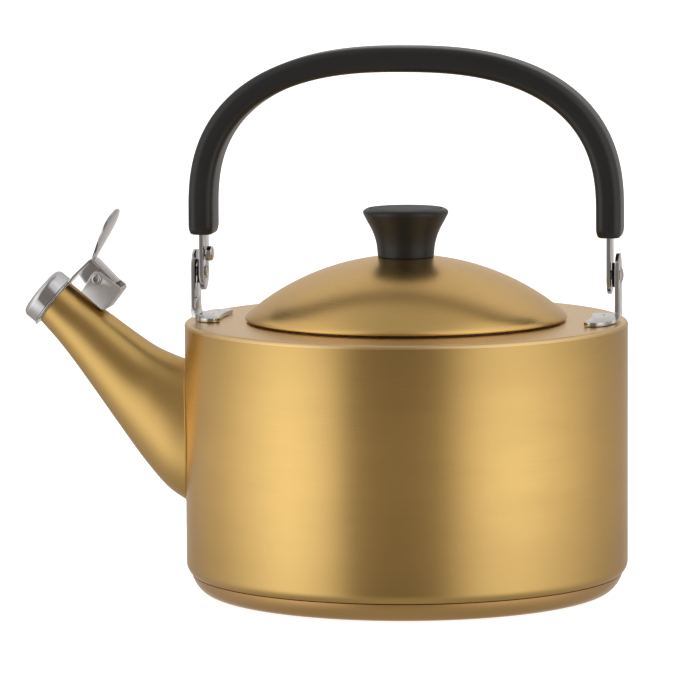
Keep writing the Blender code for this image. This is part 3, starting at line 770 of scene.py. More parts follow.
    def lofted(self, name: str, rings: Sequence[tuple[Vector, Vector, float, float]], sides: int) -> bpy.types.Object:
        """Bridges oval rings into a tube.

        Args:
            name: the object's name.
            rings: for each, its centre, the direction across it in the XZ plane, and its half sizes along that
                direction and along Y.
            sides: vertices of a ring.

        Returns:
            The open tube.
        """
        self.pick()
        obj = None
        for centre, across, tall, wide in rings:
            bpy.ops.mesh.primitive_circle_add(vertices=sides, radius=MM, location=(0.0, 0.0, 0.0))
            if obj is None:
                obj = bpy.context.object
                obj.name = obj.data.name = name
                bpy.ops.object.mode_set(mode="EDIT")
                bpy.ops.mesh.select_all(action="SELECT")
            bpy.ops.transform.resize(value=(tall, wide, 1.0), center_override=(0.0, 0.0, 0.0))
            bpy.ops.transform.rotate(
                value=math.atan2(across.z, across.x), orient_axis="Y", center_override=(0.0, 0.0, 0.0),
            )
            bpy.ops.transform.translate(value=centre * MM)
        bpy.ops.mesh.select_mode(type="EDGE")
        bpy.ops.mesh.select_all(action="SELECT")
        bpy.ops.mesh.bridge_edge_loops(type="SINGLE")
        self.close_up()
        bpy.ops.object.mode_set(mode="OBJECT")
        return obj

    def apply(self, obj: bpy.types.Object, kind: str, **settings: object) -> None:
        """Adds a modifier and applies it.

        Args:
            obj: the piece.
            kind: the modifier's type.
            settings: its properties.
        """
        modifier = obj.modifiers.new(kind.title(), kind)
        for name, value in settings.items():
            setattr(modifier, name, value)
        self.pick(obj)
        bpy.ops.object.modifier_apply(modifier=modifier.name)

    def combine(self, obj: bpy.types.Object, other: bpy.types.Object, operation: str = "DIFFERENCE") -> None:
        """Cuts, joins or trims a piece with another one, which is used up."""
        self.apply(obj, "BOOLEAN", operation=operation, object=other, solver="EXACT")
        bpy.data.objects.remove(other, do_unlink=True)

    def drill(
        self, obj: bpy.types.Object, axis: Axis, radius: float, depth: float, centre: Sequence[float],
        facets: int = SMALL,
    ) -> None:
        """Drills a round hole.

        Args:
            obj: the piece.
            axis: the hole's direction.
            radius: of the hole.
            depth: the drill's whole length.
            centre: the middle of that length.
            facets: round the hole.
        """
        bpy.ops.mesh.primitive_cylinder_add(
            vertices=facets, radius=radius * MM, depth=depth * MM, rotation=axis.value,
            location=[part * MM for part in centre],
        )
        self.combine(obj, bpy.context.object)

    def join(self, obj: bpy.types.Object, parts: Sequence[bpy.types.Object]) -> None:
        """Makes other pieces parts of this one."""
        self.pick(obj, *parts)
        bpy.ops.object.join()

    def soften(self, obj: bpy.types.Object, width: float, segments: int = 2, angle: float = 35.0) -> None:
        """Rounds the sharp edges.

        Args:
            obj: the piece.
            width: of the rounding.
            segments: facets on it.
            angle: edges flatter than this are left.
        """
        self.apply(
            obj, "BEVEL", width=width * MM, segments=segments, limit_method="ANGLE",
            angle_limit=math.radians(angle), use_clamp_overlap=True, harden_normals=False,
        )

    def smooth(self, obj: bpy.types.Object, angle: float = 38.0) -> None:
        """Shades a piece smooth, apart from its sharp edges."""
        self.pick(obj)
        bpy.ops.object.shade_smooth_by_angle(angle=math.radians(angle))

    def hand_over(
        self, obj: bpy.types.Object, finish: Finish, body: Body, slot: Slot, *nodes: str, angle: float = 38.0,
    ) -> bpy.types.Object:
        """Finishes a piece and gives it to the frame.

        Args:
            obj: the piece.
            finish: its material.
            body: what it moves with.
            slot: the record's material slot; not used.
            nodes: the CAD nodes it stands for.
            angle: edges sharper than this stay sharp.

        Returns:
            The piece.
        """
        self.smooth(obj, angle)
        obj.data.materials.clear()
        obj.data.materials.append(finish.material())
        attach(obj, body.value)
        if nodes:
            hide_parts(*nodes)
        log.info("%s: %d faces, rides on %s", obj.name, len(obj.data.polygons), body.value)
        return obj


bench = Bench()

# ----------------------------------------------------------------------------------------------- shared placements

GAP = 0.3  # between two pieces that touch
PIVOT_Z = 129.6
SHOULDER_Z = 110.3
MOUTH_CENTRE = (-145.24, 116.0)
MOUTH_TILT = 38.98
PIN = Vector((-126.6, 0.0, 126.4))  # the lever's


def side_place(side: int, height: float = PIVOT_Z) -> Matrix:
    """Local Z becomes the outward X direction of a side, at a height."""
    return Matrix.Translation((0.0, 0.0, height * MM)) @ Matrix.Rotation(math.radians(90 * side), 4, "Y")


def mouth_place() -> Matrix:
    """Gives the mouth's own axes: Z out of the spout, and X up across the mouth.

    Returns:
        The place of things on the mouth.
    """
    tilt = math.radians(MOUTH_TILT)
    out = Vector((-math.cos(tilt), 0.0, math.sin(tilt)))
    up = Vector((math.sin(tilt), 0.0, math.cos(tilt)))
    place = Matrix((up, out.cross(up), out)).transposed().to_4x4()
    place.translation = Vector((MOUTH_CENTRE[0], 0.0, MOUTH_CENTRE[1])) * MM
    return place


def pin_place() -> Matrix:
    """Local Z runs along the lever's pin, towards the front."""
    turn = Matrix.Rotation(math.radians(90), 4, "X")
    return Matrix.Translation(PIN * MM) @ turn


# ----------------------------------------------------------------------------------------------------- the vessel


@dataclass
class Spout:
    """The flared oval spout, its passage and the weld round its root."""

    stations: tuple[tuple[float, ...], ...] = (  # from the mouth: upper x, z, lower x, z, half width
        (-138.8, 123.9, -151.2, 108.6, 10.2),
        (-131.0, 117.7, -144.2, 100.8, 11.0),
        (-122.0, 111.3, -137.6, 92.5, 12.4),
        (-112.5, 104.4, -129.3, 81.1, 14.3),
        (-104.0, 98.7, -119.2, 67.0, 16.8),
        (-97.0, 95.4, -107.4, 51.0, 20.0),
        (-90.5, 93.2, -96.6, 39.2, 22.3),
        (-80.0, 91.2, -84.0, 32.0, 24.0),
    )
    wall: float = 0.8
    substeps: int = 6
    sides: int = 64
    trim_radius: float = 90.3
    bead_radius: float = 0.42
    bead_points: int = 96

    def section(self, row: tuple[float, ...], inset: float = 0.0) -> tuple[Vector, Vector, float, float]:
        """Reads one oval section.

        Args:
            row: one of the stations.
            inset: how far the oval is drawn in.

        Returns:
            Its centre, the direction across it in the XZ plane, and its half sizes that way and along Y.
        """
        upper, lower = Vector((row[0], 0.0, row[1])), Vector((row[2], 0.0, row[3]))
        reach = (upper - lower) / 2
        return (upper + lower) / 2, reach.normalized(), reach.length - inset, row[4] - inset

    def tube(self, name: str, inset: float = 0.0) -> bpy.types.Object:
        """The open tube, narrowed by the inset."""
        rows = smoothed(self.stations, self.substeps)
        return bench.lofted(name, [self.section(row, inset) for row in rows], self.sides)

    def plug(self) -> bpy.types.Object:
        """Fills the tube's passage, to cut its way through the body's wall.

        Returns:
            The closed filling.
        """
        obj = self.tube("spout_passage", self.wall)
        with bench.editing(obj):
            bpy.ops.mesh.select_all(action="SELECT")
            bpy.ops.mesh.fill_holes(sides=0)
            bench.close_up()
        return obj

    def root_line(self) -> list[Vector]:
        """Finds where the tube's outer surface meets the body.

        Returns:
            Points round the root.
        """
        rows = smoothed(self.stations, self.substeps)
        line = []
        for index in range(self.bead_points):
            turn = math.tau * index / self.bead_points
            before = None
            for row in rows:
                centre, across, tall, wide = self.section(row)
                point = centre + across * tall * math.cos(turn) + Vector((0.0, wide * math.sin(turn), 0.0))
                depth = point.xy.length - self.trim_radius
                if depth < 0:
                    share = before[1] / (before[1] - depth)
                    line.append(before[0].lerp(point, share))
                    break
                before = (point, depth)
        return line

    def build(self) -> None:
        """Builds the spout and its weld."""
        spout = self.tube("spout_tube")
        bench.apply(spout, "SOLIDIFY", thickness=self.wall * MM, offset=-1.0)
        bench.drill(spout, Axis.Z, self.trim_radius, 100.0, (0.0, 0.0, 55.0), 4 * FINE)
        bench.hand_over(spout, GOLD_SPOUT, Body.KETTLE, Slot.GOLD, "spout")
        weld = bench.wire("spout_weld", self.root_line(), self.bead_radius, closed=True)
        bench.hand_over(weld, GOLD_SPOUT, Body.KETTLE, Slot.GOLD)


@dataclass
class Vessel:
    """The drawn body, its base and its shoulder."""

    radius: float = 90.0
    wall: float = 0.8
    top_z: float = 108.6
    seam_z: float = 7.4
    floor_radius: float = 88.0
    corner_z: float = 12.4
    corner_radius: float = 6.0
    corner_turn: float = -48.0
    base_radius: float = 87.95
    base_flat_radius: float = 80.0
    base_top_z: float = 7.62
    base_slope: float = 25.0  # where the edge's ellipse starts, so that it carries on the body's corner
    base_wall: float = 0.6
    base_rings: tuple[Point, ...] = ((72.0, 69.5), (58.0, 56.5), (24.0, 22.5))  # grooves underneath
    groove: float = 0.25
    rim_radius: float = 90.1
    rim_corner: float = 1.5
    rim_bottom_z: float = 108.65
    plate_wall: float = 0.6
    neck_radius: float = 60.0
    neck_bottom_z: float = 104.5
    neck_corner: float = 1.4
    bead_radius: float = 63.2  # a faint raised ring under the lid's edge

    def shell(self, spout: Spout) -> None:
        """The body with its floor, open above.

        Args:
            spout: what the wall is cut through for.
        """
        centre = (self.radius - self.corner_radius, self.corner_z)
        outer = arc(centre, self.corner_radius, self.corner_turn, 0, 10)
        inner = arc(centre, self.corner_radius - self.wall, 0, self.corner_turn, 10)
        floor = self.seam_z + self.wall
        profile = [
            (0.0, self.seam_z), (40.0, self.seam_z), (self.floor_radius - 1.6, self.seam_z),
            (self.floor_radius - 0.4, self.seam_z + 0.45), *outer, (self.radius, 40.0), (self.radius, 75.0),
            (self.radius, self.top_z), (self.radius - self.wall, self.top_z), (self.radius - self.wall, 60.0),
            *inner, (self.floor_radius - 2.0, floor), (self.floor_radius - 8.0, floor), (0.0, floor),
        ]
        shell = bench.turned("body_wall", profile, 4 * FINE)
        bench.combine(shell, spout.plug())
        bench.hand_over(shell, GOLD, Body.KETTLE, Slot.GOLD, "body_shell")

    def base_edge(self, steps: int = 16) -> list[Point]:
        """Draws the base's curve, which carries on the body's corner down to the flat underside.

        Args:
            steps: facets of the curve.

        Returns:
            (radius, height) points.
        """
        start = math.radians(self.base_slope)
        wide = (self.base_radius - self.base_flat_radius) / math.cos(start)
        tall = self.base_top_z / (1 - math.sin(start))
        turns = [start + (math.pi / 2 - start) * index / steps for index in range(steps + 1)]
        return [(self.base_flat_radius + wide * math.cos(turn), tall * (1 - math.sin(turn))) for turn in turns]

    def base(self) -> None:
        """The cap under the body, with turned grooves in its underside."""
        under = []
        for outer, inner in self.base_rings:
            under += [(outer, 0.0), (outer - 0.4, self.groove), (inner + 0.4, self.groove), (inner, 0.0)]
        edge = self.base_edge()
        inside = offset(edge, -self.base_wall)
        profile = [*edge, *under, (0.0, 0.0), (0.0, self.base_wall), *inside[::-1]]
        base = bench.turned("base_bowl", profile, 2 * FINE, closed=True)
        bench.hand_over(base, GOLD_BASE_PAINTED_SHADE, Body.KETTLE, Slot.GOLD, "base_cap")

    def shoulder(self) -> None:
        """The flat ring with a rolled rim, a faint bead and the neck of the lid's opening."""
        neck = self.neck_radius
        bead = arc((self.bead_radius, SHOULDER_Z - 0.9), 1.15, 130, 50, 6)
        line = [
            (neck, self.neck_bottom_z), (neck, SHOULDER_Z - 4.0),
            *arc((neck + self.neck_corner, SHOULDER_Z - self.neck_corner), self.neck_corner, 180, 90, 6),
            *bead,
            (self.bead_radius + 6.0, SHOULDER_Z), (self.rim_radius - 6.0, SHOULDER_Z),
            *arc((self.rim_radius - self.rim_corner, SHOULDER_Z - self.rim_corner), self.rim_corner, 90, 0, 6),
            (self.rim_radius, self.rim_bottom_z),
        ]
        plate = bench.spun_sheet("shoulder_plate", line, self.plate_wall, 2 * FINE)
        bench.hand_over(plate, GOLD_PLATE, Body.KETTLE, Slot.GOLD, "top_plate")


@dataclass
class Lid:
    """The domed lid with its skirt and its knob."""

    dome_radius: float = 100.0
    dome_centre_z: float = 36.9
    wall: float = 0.7
    radius: float = 65.4
    bottom_z: float = 110.7
    hole: float = 2.3
    skirt_radius: float = 59.4
    skirt_wall: float = 0.6
    skirt_bottom_z: float = 101.0
    skirt_bend: float = 0.8
    flange_radius: float = 62.5
    knob_side: tuple[Point, ...] = (
        (15.7, 156.0), (16.9, 155.3), (17.3, 154.1), (16.0, 151.4), (13.5, 146.6), (12.0, 141.8), (11.4, 136.5),
    )
    recess_radius: float = 14.9
    recess_z: float = 154.7
    disc_thickness: float = 1.1
    bore_radius: float = 2.4
    bore_bottom_z: float = 137.3
    bore_top_z: float = 151.5

    def dome_z(self, radius: float) -> float:
        """The dome's height at a radius."""
        return self.dome_centre_z + math.sqrt(self.dome_radius ** 2 - radius ** 2)

    def dome(self) -> None:
        """The dome with its turned-down edge."""
        radii = [self.hole, 6.0, 12.0, *range(16, 64, 3), self.radius - 1.2]
        edge = arc((self.radius - 0.9, self.bottom_z + 1.1), 0.9, 38, -30, 5)
        line = [(radius, self.dome_z(radius)) for radius in radii] + edge
        dome = bench.spun_sheet("lid_shell", line, self.wall, 2 * FINE)
        bench.hand_over(dome, GOLD_LID, Body.LID, Slot.GOLD, "lid_dome")

    def skirt(self) -> None:
        """The ring inside the lid that centres it in the neck."""
        below = 1.25 * (self.wall + GAP + 0.1 + self.skirt_wall)
        line = [
            (self.flange_radius, self.dome_z(self.flange_radius) - below),
            (self.skirt_radius, self.dome_z(self.skirt_radius) - below), (self.skirt_radius, self.skirt_bottom_z),
        ]
        skirt = bench.spun_sheet("lid_collar", rounded(line, [0.0, self.skirt_bend, 0.0]), self.skirt_wall, FINE)
        bench.hand_over(skirt, INSIDE, Body.LID, Slot.GOLD, "lid_skirt")

    def knob(self) -> None:
        """The flared knob and the disc inlaid in its top."""
        side = smoothed(self.knob_side, 6)
        knob = bench.turned("knob_body", [
            (0.0, self.recess_z), (self.recess_radius, self.recess_z), (self.recess_radius, side[0][1] - 0.2),
            (self.recess_radius + 0.2, side[0][1]), *side, (self.bore_radius, self.bore_bottom_z),
            (self.bore_radius, self.bore_top_z), (0.0, self.bore_top_z),
        ], FINE)
        bench.hand_over(knob, GRIP, Body.LID, Slot.GRIP, "lid_knob")
        low = self.recess_z + GAP
        high = low + self.disc_thickness
        edge = self.recess_radius - GAP
        disc = bench.turned("knob_disc", [
            (0.0, high), (edge - 3.0, high), (edge - 0.7, high - 0.04), (edge - 0.2, high - 0.2), (edge, high - 0.5),
            (edge, low), (0.0, low),
        ], FINE)
        bench.hand_over(disc, DISC, Body.LID, Slot.GRIP, "knob_cap")


# ---------------------------------------------------------------------------------------------------- the whistle


@dataclass
class Whistle:
    """The cap on the spout, the two discs inside it, and the lever that carries it."""

    cup_radius: float = 11.4
    cup_bottom: float = 1.2
    cup_top: float = 7.9
    cup_corner: float = 2.5
    cup_crown: float = 0.5  # how far the middle of the face stands out
    cup_hole: float = 2.5
    sheet: float = 0.6
    disc_radius: float = 10.5
    disc_hole: float = 1.2
    disc_thickness: float = 0.5
    disc_lows: tuple[float, float] = (1.2, 3.9)
    ring_inner: float = 8.9
    ring_outer: float = 11.9
    ring_low: float = 0.3
    roof: tuple[Point, ...] = ((-138.73, 124.75), (-136.6, 127.3), (-129.0, 134.6), (-119.2, 124.6))
    roof_bends: tuple[float, ...] = (0.0, 2.4, 1.6, 0.0)
    lever_sheet: float = 0.9
    half_width: float = 5.6
    cheek: tuple[Point, ...] = (
        (-134.7, 128.6), (-132.2, 124.8), (-127.6, 121.9), (-122.6, 122.6), (-119.8, 124.3), (-129.0, 133.9),
    )
    cheek_corners: tuple[float, ...] = (0.6, 2.0, 3.0, 3.0, 0.6, 1.6)
    pin_hole: float = 1.5
    paddle_root: Point = (-129.0, 134.3)
    paddle_tip: Point = (-119.2, 154.6)
    paddle_half_width: float = 14.4
    paddle_neck: float = 3.2
    paddle_least: float = 2.9
    paddle_skew: float = 1.45
    paddle_taper: float = 0.42
    paddle_dish: float = -0.9  # the hollow side faces the mouth
    paddle_rows: int = 30
    paddle_columns: int = 12

    def cap(self) -> None:
        """The cup with a hole in its face, and its two discs."""
        corner = arc((self.cup_radius - self.cup_corner, self.cup_top - self.cup_corner), self.cup_corner, 90, 0, 8)
        crown = self.cup_top + self.cup_crown
        line = [
            (self.cup_hole, crown - 0.5), (self.cup_hole + 0.5, crown - 0.12), (self.cup_hole + 1.1, crown),
            (6.0, crown - 0.16), *corner, (self.cup_radius, self.cup_bottom),
        ]
        cup = bench.spun_sheet("whistle_cup", line, self.sheet, FINE, mouth_place())
        bench.hand_over(cup, POLISHED, Body.WHISTLE, Slot.POLISHED, "whistle_cap")
        for name, low in zip(("inner", "outer"), self.disc_lows):
            high = low + self.disc_thickness
            disc = bench.turned(f"whistle_plate_{name}", [
                (self.disc_hole, high - 0.1), (self.disc_hole + 0.4, high), (self.disc_radius, high),
                (self.disc_radius, low), (self.disc_hole, low),
            ], MEDIUM, mouth_place(), closed=True)
            bench.hand_over(disc, INSIDE, Body.WHISTLE, Slot.PLAIN, f"whistle_disc_{name}")

    def leaf_half_width(self, share: float) -> float:
        """Half the thumb rest's width.

        Args:
            share: how far along the thumb rest, from its root.

        Returns:
            The half width there.
        """
        neck = self.paddle_neck * (1 - share) ** 2
        leaf = math.sqrt(max(math.sin(math.pi * share ** self.paddle_skew), 0.0)) * share ** self.paddle_taper
        return max(neck + self.paddle_half_width * leaf, self.paddle_least)

    def paddle(self) -> bpy.types.Object:
        """Makes the leaf-shaped thumb rest: a dished row, extruded upwards and resized row by row.

        Returns:
            The piece.
        """
        root, tip = (Vector((x, 0.0, z)) for x, z in (self.paddle_root, self.paddle_tip))
        along = (tip - root).normalized()
        facing = along.cross(Vector((0.0, 1.0, 0.0)))
        first = self.leaf_half_width(0.0)
        shares = [2 * index / self.paddle_columns - 1 for index in range(self.paddle_columns + 1)]
        dish = self.paddle_dish * first / self.paddle_half_width
        obj = bench.chain("thumb_rest", [(dish * (1 - share ** 2), first * share, 0.0) for share in shares])
        with bench.editing(obj, "EDGE"):
            bpy.ops.mesh.select_all(action="SELECT")
            height, half = 0.0, first
            for row in range(1, self.paddle_rows + 1):
                share = math.sin(math.pi / 2 * row / self.paddle_rows)
                new_height, new_half = share * (tip - root).length, self.leaf_half_width(share)
                bpy.ops.mesh.extrude_region_move(
                    TRANSFORM_OT_translate={"value": (0.0, 0.0, (new_height - height) * MM)},
                )
                bpy.ops.transform.resize(value=(new_half / half,) * 3, center_override=(0.0, 0.0, new_height * MM))
                height, half = new_height, new_half
            bench.close_up()
        bench.apply(obj, "SOLIDIFY", thickness=self.lever_sheet * MM, offset=0.0)
        bench.soften(obj, 0.28, 3, 50.0)
        place = Matrix((facing, Vector((0.0, 1.0, 0.0)), along)).transposed().to_4x4()
        place.translation = root * MM
        return bench.settle(obj, place)

    def lever(self) -> None:
        """The stamping: a ring round the mouth, a bent roof, two cheeks and the thumb rest."""
        middle = rounded(self.roof, self.roof_bends)
        roof = bench.plate("cap_carrier", sheet(middle, self.lever_sheet), 2 * self.half_width, FRONT)
        bench.soften(roof, 0.25, 2)
        profile = band(self.ring_inner, self.ring_outer, self.ring_low, self.ring_low + self.sheet, self.sheet / 4)
        ring = bench.turned("lever_ring", profile, FINE, mouth_place(), closed=True)
        parts = [ring, self.paddle()]
        for side in (-1, 1):
            outline = rounded(self.cheek, self.cheek_corners, closed=True)
            offcentre = side * (self.half_width - self.lever_sheet / 2)
            cheek = bench.plate(f"lever_cheek_{side}", outline, self.lever_sheet, moved(FRONT, 0.0, offcentre, 0.0))
            bench.drill(cheek, Axis.Y, self.pin_hole, 20.0, PIN)
            bench.soften(cheek, 0.15, 2)
            parts.append(cheek)
        bench.join(roof, parts)
        bench.hand_over(roof, POLISHED, Body.WHISTLE, Slot.POLISHED, "cap_lever")


@dataclass
class WhistleBracket:
    """The channel on the spout that the lever turns in, with its pin and its spring."""

    floor: tuple[Point, Point] = ((-133.0, 121.3), (-124.6, 113.9))
    wall: tuple[Point, Point] = ((-122.6, 114.1), (-116.6, 121.9))
    top: tuple[Point, ...] = ((-128.8, 128.2), (-127.2, 129.7), (-125.0, 129.4), (-117.2, 123.4))
    open_side: tuple[Point, Point] = ((-129.0, 143.5), (-109.0, 135.5))
    corners: tuple[float, ...] = (0.5, 1.6, 2.0, 2.2, 1.0, 1.0, 1.8, 1.8)
    sheet: float = 1.0
    half_width: float = 7.0
    pin_radius: float = 1.2
    pin_hole: float = 1.5
    pin_seat: float = 0.12  # from a cheek to the head
    pin_head: tuple[Point, ...] = (  # radius, height over the seat: an eyelet
        (0.0, -1.2), (0.8, -1.2), (0.85, 0.35), (1.0, 0.68), (1.3, 0.8), (1.65, 0.74), (1.95, 0.48), (2.1, 0.15),
        (2.1, 0.0),
    )
    wire: float = 0.35
    coil: float = 2.5
    turns: int = 3
    pitch: float = 1.5
    leg: float = 5.9
    leg_angles: tuple[float, float] = (-125.0, -44.0)  # towards the floor, and under the lever's tail
    tail_share: float = 0.75

    def channel(self) -> None:
        """Two cheeks, a floor and an end wall."""
        outline = [self.floor[0], *self.top, self.wall[1], self.wall[0], self.floor[1]]
        channel = bench.plate(
            "whistle_channel", rounded(outline, self.corners, closed=True), 2 * self.half_width, FRONT,
        )
        beyond = tuple(2 * near - far for near, far in zip(self.floor[0], self.floor[1]))
        inside = offset([self.wall[1], self.wall[0], self.floor[1], beyond], -self.sheet)
        hollow = [*rounded(inside, [0.0, 0.7, 0.7, 0.0]), *self.open_side]
        bench.combine(channel, bench.plate("channel_hollow", hollow, 2 * (self.half_width - self.sheet), FRONT))
        bench.drill(channel, Axis.Y, self.pin_hole, 30.0, PIN)
        bench.soften(channel, 0.16, 2)
        bench.hand_over(channel, SATIN, Body.KETTLE, Slot.POLISHED, "whistle_bracket")

    def pin(self) -> None:
        """The pin with a rolled eyelet head on each end."""
        seat = self.half_width + self.pin_seat
        head = [*((radius, seat + height) for radius, height in self.pin_head), (self.pin_radius, seat)]
        pin = bench.turned("lever_axle", head + [(r, -z) for r, z in head[::-1]], SMALL, pin_place())
        bench.hand_over(pin, POLISHED, Body.KETTLE, Slot.POLISHED, "lever_pin")

    def spring(self) -> None:
        """A torsion spring round the pin, with one leg towards the floor and one under the lever's tail."""
        floor_leg, tail_leg = (math.radians(angle) for angle in self.leg_angles)
        start, end = floor_leg + math.pi / 2, tail_leg - math.pi / 2 + math.tau * self.turns
        count = 24 * self.turns
        coil = []
        for index in range(count + 1):
            angle = start + (end - start) * index / count
            side = self.pitch * self.turns * (index / count - 0.5)
            coil.append(PIN + Vector((math.cos(angle), 0.0, math.sin(angle))) * self.coil + Vector((0.0, side, 0.0)))
        first = coil[0] + Vector((math.cos(floor_leg), 0.0, math.sin(floor_leg))) * self.leg
        last = coil[-1] + Vector((math.cos(tail_leg), 0.0, math.sin(tail_leg))) * self.leg * self.tail_share
        spring = bench.wire("torsion_spring", [first, *coil, last], self.wire)
        bench.hand_over(spring, POLISHED, Body.WHISTLE, Slot.PLAIN, "cap_spring")


# ----------------------------------------------------------------------------------------------------- the handle


@dataclass
class HandleBracket:
    """One of the two bent plates that carry the handle, with its rivet and washer.

    The left one also has a pad pressed out of its post.
    """

    side: int
    label: str
    post_inner: float = 85.8
    thickness: float = 1.5
    post_width: float = 15.6
    post_top_z: float = 138.6
    foot_inner: float = 74.2
    foot_side: tuple[Point, ...] = (  # distance out, half width
        (0.0, 15.9), (0.8, 17.5), (2.6, 18.5), (5.6, 18.3), (8.6, 15.7), (10.4, 10.0), (12.2, 8.4), (16.0, 8.4),
    )
    flare: tuple[Point, ...] = ((12.0, 2.4), (1.2, 2.9), (0.0, 4.6))  # beyond the post's edge, above the foot
    bend: float = 2.6
    margin: float = 2.0
    bore: float = 2.3
    strap_middle: float = 83.2
    strap_thickness: float = 1.5
    rivet_radius: float = 2.0
    rivet_dome: tuple[Point, ...] = ((0.0, 1.2), (1.0, 1.14), (1.9, 0.94), (2.7, 0.6), (3.3, 0.22), (3.6, 0.0))
    rivet_flat: tuple[Point, ...] = (  # with a groove round a raised middle
        (2.9, 0.0), (2.85, 0.3), (2.65, 0.42), (2.4, 0.34), (2.15, 0.08), (1.75, 0.08), (1.5, 0.3), (1.2, 0.38),
        (0.0, 0.4),
    )
    rivet_tail: float = 0.2
    seat_gap: float = 0.2  # a thin shadow under each head
    washer_radius: float = 5.0
    washer_thickness: float = 1.1
    washer_edge: float = 0.2
    hollow_depth: float = 1.3  # of the foot's inner edge, which curves round the lid
    hollow_half: float = 15.2
    pad: tuple[float, float, float, float] = (-7.9, 1.5, 113.9, 119.6)  # the post's pressed pad: y and z limits
    pad_proud: float = 1.0
    dimple: tuple[float, float, float] = (79.5, 0.5, 0.06)  # distance out, radius, height of a weld's mark
    dimple_row: tuple[float, ...] = (-12.5, 0.0, 12.5)

    def plate(self) -> None:
        """The bent plate, trimmed in front view to the post and in plan to the foot."""
        outer, low = self.post_inner + self.thickness, SHOULDER_Z + GAP
        start = self.foot_inner - self.margin
        centre = (outer - self.bend, low + self.bend)
        profile = [
            (start, low), *arc(centre, self.bend, -90, 0, 10), (outer, self.post_top_z),
            (self.post_inner, self.post_top_z), *arc(centre, self.bend - self.thickness, 0, -90, 8),
            (start, low + self.thickness),
        ]
        widest = max(half for _, half in self.foot_side) + self.margin
        bracket = bench.plate(
            f"bracket_{self.label}", [(self.side * x, z) for x, z in profile], 2 * widest, FRONT,
        )
        half = self.post_width / 2
        flare = [(half + out, low + up) for out, up in self.flare]
        edge = [(flare[0][0], low - self.margin), *rounded(flare, [0.0, 1.2, 2.0])]
        front = edge + arc((0.0, self.post_top_z - half), half, 0, 180, 32) + [(-y, z) for y, z in edge[::-1]]
        middle = self.side * (self.foot_inner + outer) / 2
        bench.combine(bracket, bench.plate(
            "front_trim", front, 2 * (outer - self.foot_inner), moved(SIDE, middle, 0.0, 0.0),
        ), "INTERSECT")
        smooth_side = smoothed(self.foot_side, 4)
        outline = [(self.side * (self.foot_inner + out), wide) for out, wide in smooth_side]
        plan = outline + [(x, -y) for x, y in outline[::-1]]
        bench.combine(bracket, bench.plate(
            "plan_trim", plan, 2 * (self.post_top_z - low), FLAT, (low + self.post_top_z) / 2,
        ), "INTERSECT")
        post = self.side * (self.post_inner + self.thickness / 2)
        bench.drill(bracket, Axis.X, self.bore, 2 * self.margin + self.thickness, (post, 0.0, PIVOT_Z))
        hollow = (self.hollow_half ** 2 + self.hollow_depth ** 2) / (2 * self.hollow_depth)
        centre = (self.side * (self.foot_inner + self.hollow_depth - hollow), 0.0, low)
        bench.drill(bracket, Axis.Z, hollow, 20.0, centre, 2 * FINE)
        bench.soften(bracket, 0.3, 2, 40.0)
        marks = self.weld_marks(low + self.thickness)
        if self.side < 0:
            marks.append(self.pressed_pad())
        bench.join(bracket, marks)
        bench.hand_over(
            bracket, POLISHED, Body.KETTLE, Slot.POLISHED, f"handle_bracket_{self.label}", angle=30.0,
        )

    def pressed_pad(self) -> bpy.types.Object:
        """Makes the pad that is pressed out of the post's inner face, above the bend.

        Returns:
            The pad.
        """
        near, far, low, high = self.pad
        outline = rounded([(near, low), (far, low), (far, high), (near, high)], [1.6] * 4, 6, closed=True)
        middle = self.side * (self.post_inner + 0.1 - self.pad_proud / 2)
        pad = bench.plate("post_pad", outline, self.pad_proud + 0.2, moved(SIDE, middle, 0.0, 0.0))
        bench.soften(pad, 0.45, 3, 60.0)
        return pad

    def weld_marks(self, level: float) -> list[bpy.types.Object]:
        """The round marks that spot welding leaves on the foot.

        Args:
            level: the height of the foot's upper face.

        Returns:
            One piece for each.
        """
        out, radius, height = self.dimple
        marks = []
        for across in self.dimple_row:
            ring = [(0.0, 0.02), (radius * 0.5, 0.03), (radius * 0.75, height), (radius, height), (radius * 1.25, 0.0),
                    (radius * 1.25, -0.3), (0.0, -0.3)]
            place = Matrix.Translation(Vector((self.side * out, across, level)) * MM)
            marks.append(bench.turned("weld_mark", ring, SMALL, place))
        return marks

    def pivot(self) -> None:
        """The rivet and the washer. The right rivet has its head outside, the left one inside."""
        place = side_place(self.side)
        outer = self.post_inner + self.thickness
        strap_inner = self.strap_middle - self.strap_thickness / 2
        if self.side > 0:
            seat, end = outer + self.seat_gap, strap_inner - self.rivet_tail
            profile = [
                *[(radius, seat + height) for radius, height in self.rivet_dome], (self.rivet_radius, seat),
                (self.rivet_radius, end), (0.0, end),
            ]
        else:
            seat, end = strap_inner - self.seat_gap, outer + self.rivet_tail
            profile = [
                (0.0, end), (self.rivet_radius, end), (self.rivet_radius, seat),
                *[(radius, seat - height) for radius, height in self.rivet_flat],
            ]
        rivet = bench.turned(f"rivet_{self.label}", profile, MEDIUM, place)
        bench.hand_over(rivet, POLISHED, Body.KETTLE, Slot.POLISHED, f"pivot_rivet_{self.label}")
        low = self.strap_middle + self.strap_thickness / 2 + GAP
        profile = band(self.bore, self.washer_radius, low, low + self.washer_thickness, self.washer_edge)
        washer = bench.turned(f"washer_{self.label}", profile, MEDIUM, place, closed=True)
        bench.hand_over(washer, WASHER, Body.KETTLE, Slot.WASHER, f"pivot_washer_{self.label}")

    def build(self) -> None:
        """Builds the bracket with its pivot."""
        self.plate()
        self.pivot()


